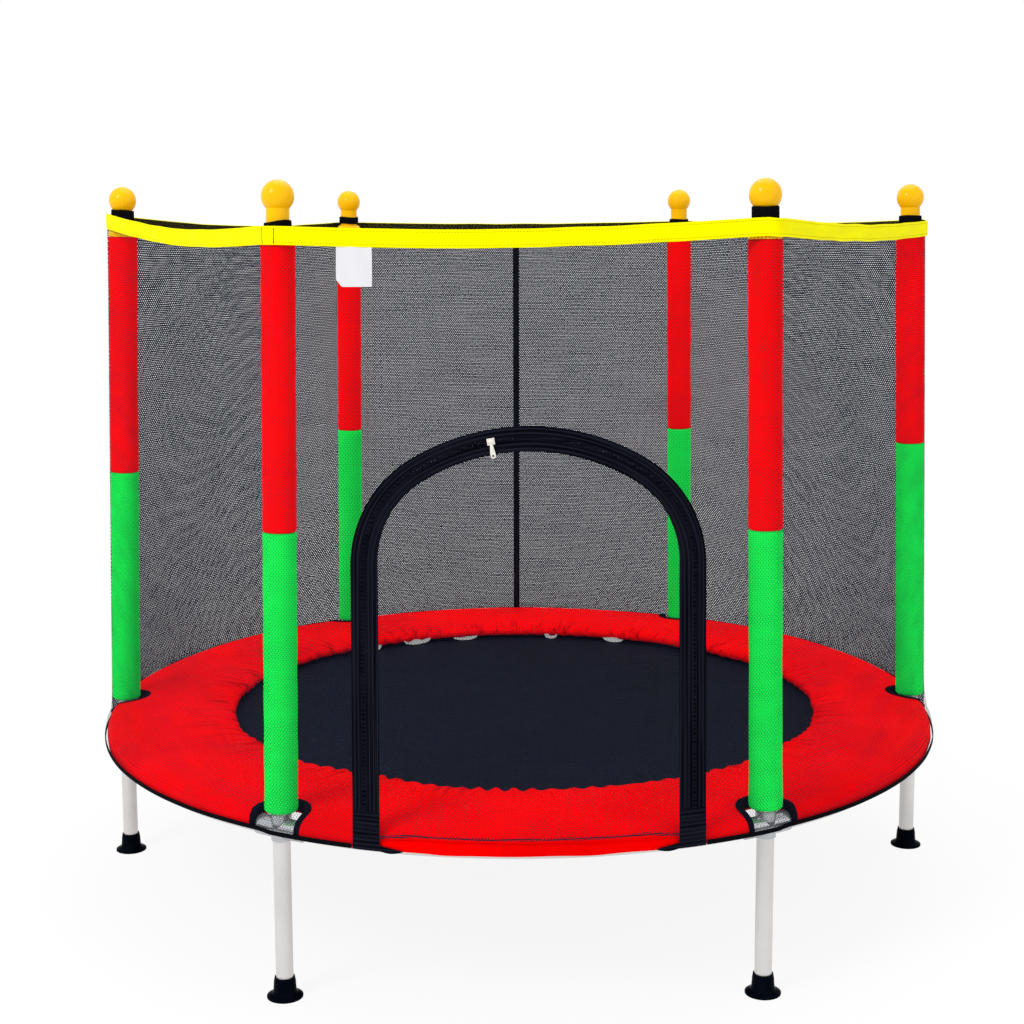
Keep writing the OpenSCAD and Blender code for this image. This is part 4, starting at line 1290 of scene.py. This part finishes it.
def zip_line(foot, step=0.004):
    """Path along the zip from the left foot over the crown to the right foot: x, z and outward direction."""
    def arc(x, z, r, begin, end):
        t = np.linspace(begin, end, int(r * (begin - end) / step) + 1)
        return np.stack([x + r * np.cos(t), z + r * np.sin(t), np.cos(t), np.sin(t)], axis=1)

    leg = np.array([(-DOOR_HALF, z, -1, 0) for z in np.arange(foot, SPRING_LINE_Z - step / 2, step)])
    begin, end = math.pi / 2 + SHOULDER_TURN, math.pi / 2 - SHOULDER_TURN
    line = np.concatenate([leg, arc(-SHOULDER_X, SPRING_LINE_Z, SHOULDER_R, math.pi, begin),
                           arc(0, CROWN_Z, CROWN_R, begin, end)[1:-1],
                           arc(SHOULDER_X, SPRING_LINE_Z, SHOULDER_R, end, 0), leg[::-1] * (-1, 1, -1, 1)])
    return line + (DOOR_X, 0, 0, 0)


def zip_strip(name, line, profile, wider):
    """Bar along the zip: profile is (distance outward from the zip's middle, stand-off from the net).

    The far half of the profile is wider by the given length on the zip's straight legs."""
    leg = wider * ramp(line[:, 1], SPRING_LINE_Z + LEG_EASE, -LEG_EASE)
    rows = []
    for d, out in profile:
        reach = d + (math.copysign(1, d) * leg if abs(d) > 0.010 else 0)
        rows.append(front_point(line[:, 0] + reach * line[:, 2], line[:, 1] + reach * line[:, 3], out))
    o = strip(name, np.stack(rows, axis=1))
    off = vertices(o)[:, None, [0, 2]] - line[:, :2]
    near = (off ** 2).sum(axis=2).argmin(axis=1)
    off = off[np.arange(len(near)), near]
    map_cloth(o, np.stack([lengths(line[:, :2])[near], (off * line[near, 2:]).sum(axis=1)], axis=-1))
    return o


# A tooth's corners: outward from the zip's middle in mm, along it as a share of the pitch, and height as a share
TOOTH = np.array([(0.05, -0.4, 0), (0.05, 0.4, 0), (2.4, 0.4, 0), (2.4, -0.4, 0), (0.05, -0.3, 1), (0.05, 0.3, 1),
                  (2.2, 0.3, 0.85), (2.2, -0.3, 0.85)])
TOOTH_FACES = [(4, 5, 6, 7), (0, 1, 5, 4), (1, 2, 6, 5), (2, 3, 7, 6), (3, 0, 4, 7), (3, 2, 1, 0)]


def teeth(name, side, pitch):
    """Coil teeth along one edge of the zip; side is 1 for the net's row and -1 for the flap's."""
    line = zip_line(PATCH_Z + 0.001, pitch)
    if side < 0:
        line = (line + np.roll(line, -1, axis=0))[:-1] / 2
    line[:, 2:] /= np.hypot(line[:, 2], line[:, 3])[:, None]
    x, z, out_x, out_z = (line[:, k, None] for k in range(4))
    d, t = side * TOOTH[:, 0] / 1000, TOOTH[:, 1] * pitch
    points = front_point(x + d * out_x + t * out_z, z + d * out_z - t * out_x, 0.0019 + 0.0016 * TOOTH[:, 2])
    return mesh_of(name, points, TOOTH_FACES)


class CutDoor(bpy.types.Operator):
    """Makes the net's front sheet with the arched opening"""
    bl_idname = "trampoline.cut_door"
    bl_label = "Front sheet"

    def execute(self, context):
        half = DOOR_HALF + TAPE_LAP
        upper = np.linspace(0, 1, 15)
        lower = np.append(NET_ROWS[NET_ROWS < SPRING_LINE_Z], SPRING_LINE_Z)
        share = np.linspace(0, 1, 19) ** 1.35
        pieces = []
        for edge, x_edge in ((-120.0, DOOR_X - half), (-60.0, DOOR_X + half)):
            for rows in (lower, SPRING_LINE_Z + (NET_Z1 - SPRING_LINE_Z) * upper):
                z = np.tile(rows[:, None], (1, len(share)))
                a = edge + (front_angle(x_edge, z) - edge) * share
                pieces.append(net_cloth("part", a if edge < -90 else a[:, ::-1], z))
        x, foot = door_columns(TAPE_LAP)
        z = foot + (NET_Z1 - foot) * upper[:, None]
        pieces.append(net_cloth("part", front_angle(x, z), z))
        o = joined("net_front", pieces)
        weld(o, 1e-5)
        bpy.ops.object.mode_set(mode="OBJECT")
        thicken(o, NET_T, 0)
        complete(o, bpy.data.materials["net_open"], "frame", ["net_door_panel"], 60)
        sheer(o)
        return {"FINISHED"}


def flap_foot(x):
    """Height of the flap's foot at a sideways place, drawn up a little in the middle."""
    return FLAP_FOOT_Z + 0.0065 * ramp(np.abs(x - DOOR_X), DOOR_HALF - 0.015, -0.05) ** 0.7


class HangFlap(bpy.types.Operator):
    """Makes the door flap"""
    bl_idname = "trampoline.hang_flap"
    bl_label = "Door flap"

    def execute(self, context):
        half = DOOR_HALF - TAPE_LAP
        x, head = door_columns(-TAPE_LAP)
        foot = flap_foot(x)
        z = foot + (head - foot) * np.linspace(0, 1, 33)[:, None]
        spare = half - (DOOR_HALF - context.scene.tramp_door.tape_w / 2 - 0.001)
        reach = half - spare * ramp(z, PATCH_Z + 0.004, -0.004)
        a = front_angle(DOOR_X + np.clip(x - DOOR_X, -reach, reach), z)
        o = cloth("door_flap_net", polar(net_r(a, z), a, z), np.stack([np.radians(a) * CLOTH_R, z], axis=-1))
        thicken(o, NET_T, 0)
        complete(o, bpy.data.materials["net_open"], "door_flap", ["door_flap"], 60)
        sheer(o)
        return {"FINISHED"}


class SewZip(bpy.types.Operator):
    """Makes the zip's two tapes, its coil teeth, end patches and the flap's foot hem"""
    bl_idname = "trampoline.sew_zip"
    bl_label = "Zip"

    def execute(self, context):
        p = context.scene.tramp_door
        black = tape_material(p)
        edge = p.tape_w / 2 * 1000
        outer = self.tape("net_tape", 1, edge, zip_line(PATCH_Z - 0.02))
        ends = [piece for side in (-1, 1) for piece in self.patch(side, edge)]
        net_teeth = teeth("net_teeth", 1, p.tooth_pitch)
        map_upright(*ends, net_teeth)
        fixed = joined("zip_tape_net", [outer, *ends, net_teeth])
        complete(fixed, black, "frame", ["zip_tape_fixed"])

        inner = self.tape("flap_tape", -1, edge + 1, zip_line(PATCH_Z + 0.0003), 0.0036)
        reach = DOOR_HALF - p.tape_w / 2 - 0.001
        x = np.linspace(DOOR_X - reach, DOOR_X + reach, 97)[:, None]
        up, out = mm(FLAP_FOOT).T
        foot = strip("door_flap_foot", front_point(x, flap_foot(x) + up, out))
        complete(foot, net_material("net_fold", context.scene.tramp_net, 0.55), "door_flap",
                 ["zip_tape_flap"])
        flap_teeth = teeth("flap_teeth", -1, p.tooth_pitch)
        map_upright(foot, flap_teeth)
        moving = joined("zip_tape_door", [inner, flap_teeth])
        complete(moving, black, "door_flap", ["zip_tape_flap"])
        return {"FINISHED"}

    def tape(self, name, side, last, line, wider=0.0):
        """Half of the zip's tape, with its ridges, out to its last edge in millimetres."""
        rises = [(0.1, 0.1), (1.6, 0.3), (2.9, 0.1), (3.6, -0.5), (5, -0.3), (6.2, 0.2), (7.2, -0.2), (9, -0.4),
                 (12.5, -0.2), (last - 1.6, 0), (last - 0.4, -0.2), (last, -0.6)]
        profile = mm([(0.1, TAPE_IN), *((d, TAPE_TOP + rise) for d, rise in rises), (last - 0.2, TAPE_IN)])
        return zip_strip(name, line, profile * (side, 1), wider)

    def patch(self, side, edge):
        """Patch over both tapes' end at one leg of the zip, and the wedge of hem beside it."""
        middle = DOOR_X + side * DOOR_HALF
        low, high = (-edge - PATCH_LAP, edge) if side > 0 else (-edge, edge + PATCH_LAP)
        d, out = mm([(low, TAPE_IN), (low, TAPE_TOP - 0.3), (low + 1, TAPE_TOP + 0.1), (0, TAPE_TOP + 0.35),
                     (high - 1, TAPE_TOP + 0.1), (high, TAPE_TOP - 0.3), (high, TAPE_IN)]).T
        z = np.linspace(NET_Z0 + 0.0002, PATCH_Z, 15)[:, None]
        cover = strip("patch", front_point(middle + d, z, out + 0.0006 * (z < NET_Z0 + 0.009)))
        t = np.linspace(0, 1, 9)[:, None]
        foot = NET_Z0 + 0.0004 - 0.003 * np.sin(math.pi * t) + 0.001 * t
        share, out = np.array(HEM_END).T
        x = middle - side * (edge + PATCH_LAP - 0.5 + HEM_END_LEN * t) / 1000
        return cover, strip("hem_end", front_point(x, foot + share * (0.0062 * (1 - t) + 0.0012), out / 1000))


# ---- Studio ----

FRAME_PX = 1024
FOCAL_PX = 1750.88
SHIFT_PX = -52
CAMERA_PLACE = (-0.0332, -2.9698, 1.1057)
CAMERA_YAW, CAMERA_PITCH, CAMERA_ROLL = (math.radians(x) for x in (-0.445, 7.974, -0.211))


class SetStudio(bpy.types.Operator):
    """Makes the camera, the floor, the lamps and the room light"""
    bl_idname = "trampoline.set_studio"
    bl_label = "Camera, floor and lamps"

    # Each lamp's place, its size and its share of the key lamp's power
    lamps = {"key": ((-2.6, -2.9, 3.4), 1.5, 1), "fill": ((3.2, -2.2, 2.2), 2.6, 0.2),
             "top": ((0.3, 0.8, 3.8), 3.0, 0.5)}

    def execute(self, context):
        p = context.scene.tramp_studio
        scene = context.scene
        scene.view_settings.view_transform = "Standard"
        turn = about(CAMERA_YAW) @ Matrix.Rotation(math.pi / 2 - CAMERA_PITCH, 4, "X") @ about(CAMERA_ROLL)
        deselect()
        bpy.ops.object.camera_add(location=CAMERA_PLACE, rotation=turn.to_euler())
        camera = bpy.context.object
        camera.name = "camera"
        camera.data.sensor_width = 36
        camera.data.lens = FOCAL_PX * 36 / FRAME_PX
        camera.data.shift_y = SHIFT_PX / FRAME_PX
        scene.camera = camera

        bpy.ops.mesh.primitive_plane_add(size=60, location=(0, 0, 0))
        floor = named(bpy.context.object, "studio_floor")
        floor.data.materials.append(floor_material(p))

        for name, (place, size, share) in self.lamps.items():
            bpy.ops.object.light_add(type="AREA", location=place)
            lamp = bpy.context.object
            lamp.name = name
            lamp.data.size = size
            lamp.data.energy = p.key * share
            lamp.rotation_euler = (Vector((0, 0, 0.6)) - Vector(place)).to_track_quat("-Z", "Y").to_euler()

        world = scene.world or bpy.data.worlds.new("room")
        scene.world = world
        world.use_nodes = True
        n = Nodes(world.node_tree)
        n.tree.nodes.clear()
        room, seen = (n.add("Background", {0: (1, 1, 1), 1: strength}).outputs[0] for strength in (p.world, 1.0))
        mixed = n.add("MixShader", {0: n.eye_ray(), 1: room, 2: seen})
        n.add("OutputWorld", {0: mixed.outputs[0]})
        return {"FINISHED"}


class TrampolinePanel(bpy.types.Panel):
    bl_idname = "VIEW3D_PT_trampoline"
    bl_label = "Trampoline"
    bl_space_type = "VIEW_3D"
    bl_region_type = "UI"
    bl_category = "Trampoline"

    def draw(self, context):
        for group in GROUPS:
            settings = getattr(context.scene, group)
            box = self.layout.box()
            for key in settings.__annotations__:
                box.prop(settings, key)
        for operator in OPERATORS:
            self.layout.operator(operator.bl_idname)


GROUPS = {"tramp_net": NetSettings, "tramp_pad": PadSettings, "tramp_poles": PoleSettings, "tramp_mat": MatSettings,
          "tramp_door": DoorSettings, "tramp_studio": StudioSettings}
OPERATORS = (SetStudio, FinishMetal, WrapPoles, TieLoops, LayMat, HookSprings, SewPad, HangNet, CutDoor, HangFlap,
             SewZip)


def register():
    for name, group in GROUPS.items():
        bpy.utils.register_class(group)
        setattr(bpy.types.Scene, name, PointerProperty(type=group))
    for operator in OPERATORS:
        bpy.utils.register_class(operator)
    bpy.utils.register_class(TrampolinePanel)


def unregister():
    bpy.utils.unregister_class(TrampolinePanel)
    for operator in reversed(OPERATORS):
        bpy.utils.unregister_class(operator)
    for name, group in GROUPS.items():
        delattr(bpy.types.Scene, name)
        bpy.utils.unregister_class(group)


def main():
    register()
    bpy.ops.trampoline.set_studio()
    bpy.ops.trampoline.finish_metal()
    bpy.ops.trampoline.wrap_poles()
    bpy.ops.trampoline.tie_loops()
    bpy.ops.trampoline.lay_mat()
    bpy.ops.trampoline.hook_springs()
    bpy.ops.trampoline.sew_pad()
    bpy.ops.trampoline.hang_net()
    bpy.ops.trampoline.cut_door()
    bpy.ops.trampoline.hang_flap()
    bpy.ops.trampoline.sew_zip()


if __name__ == "__main__":
    main()
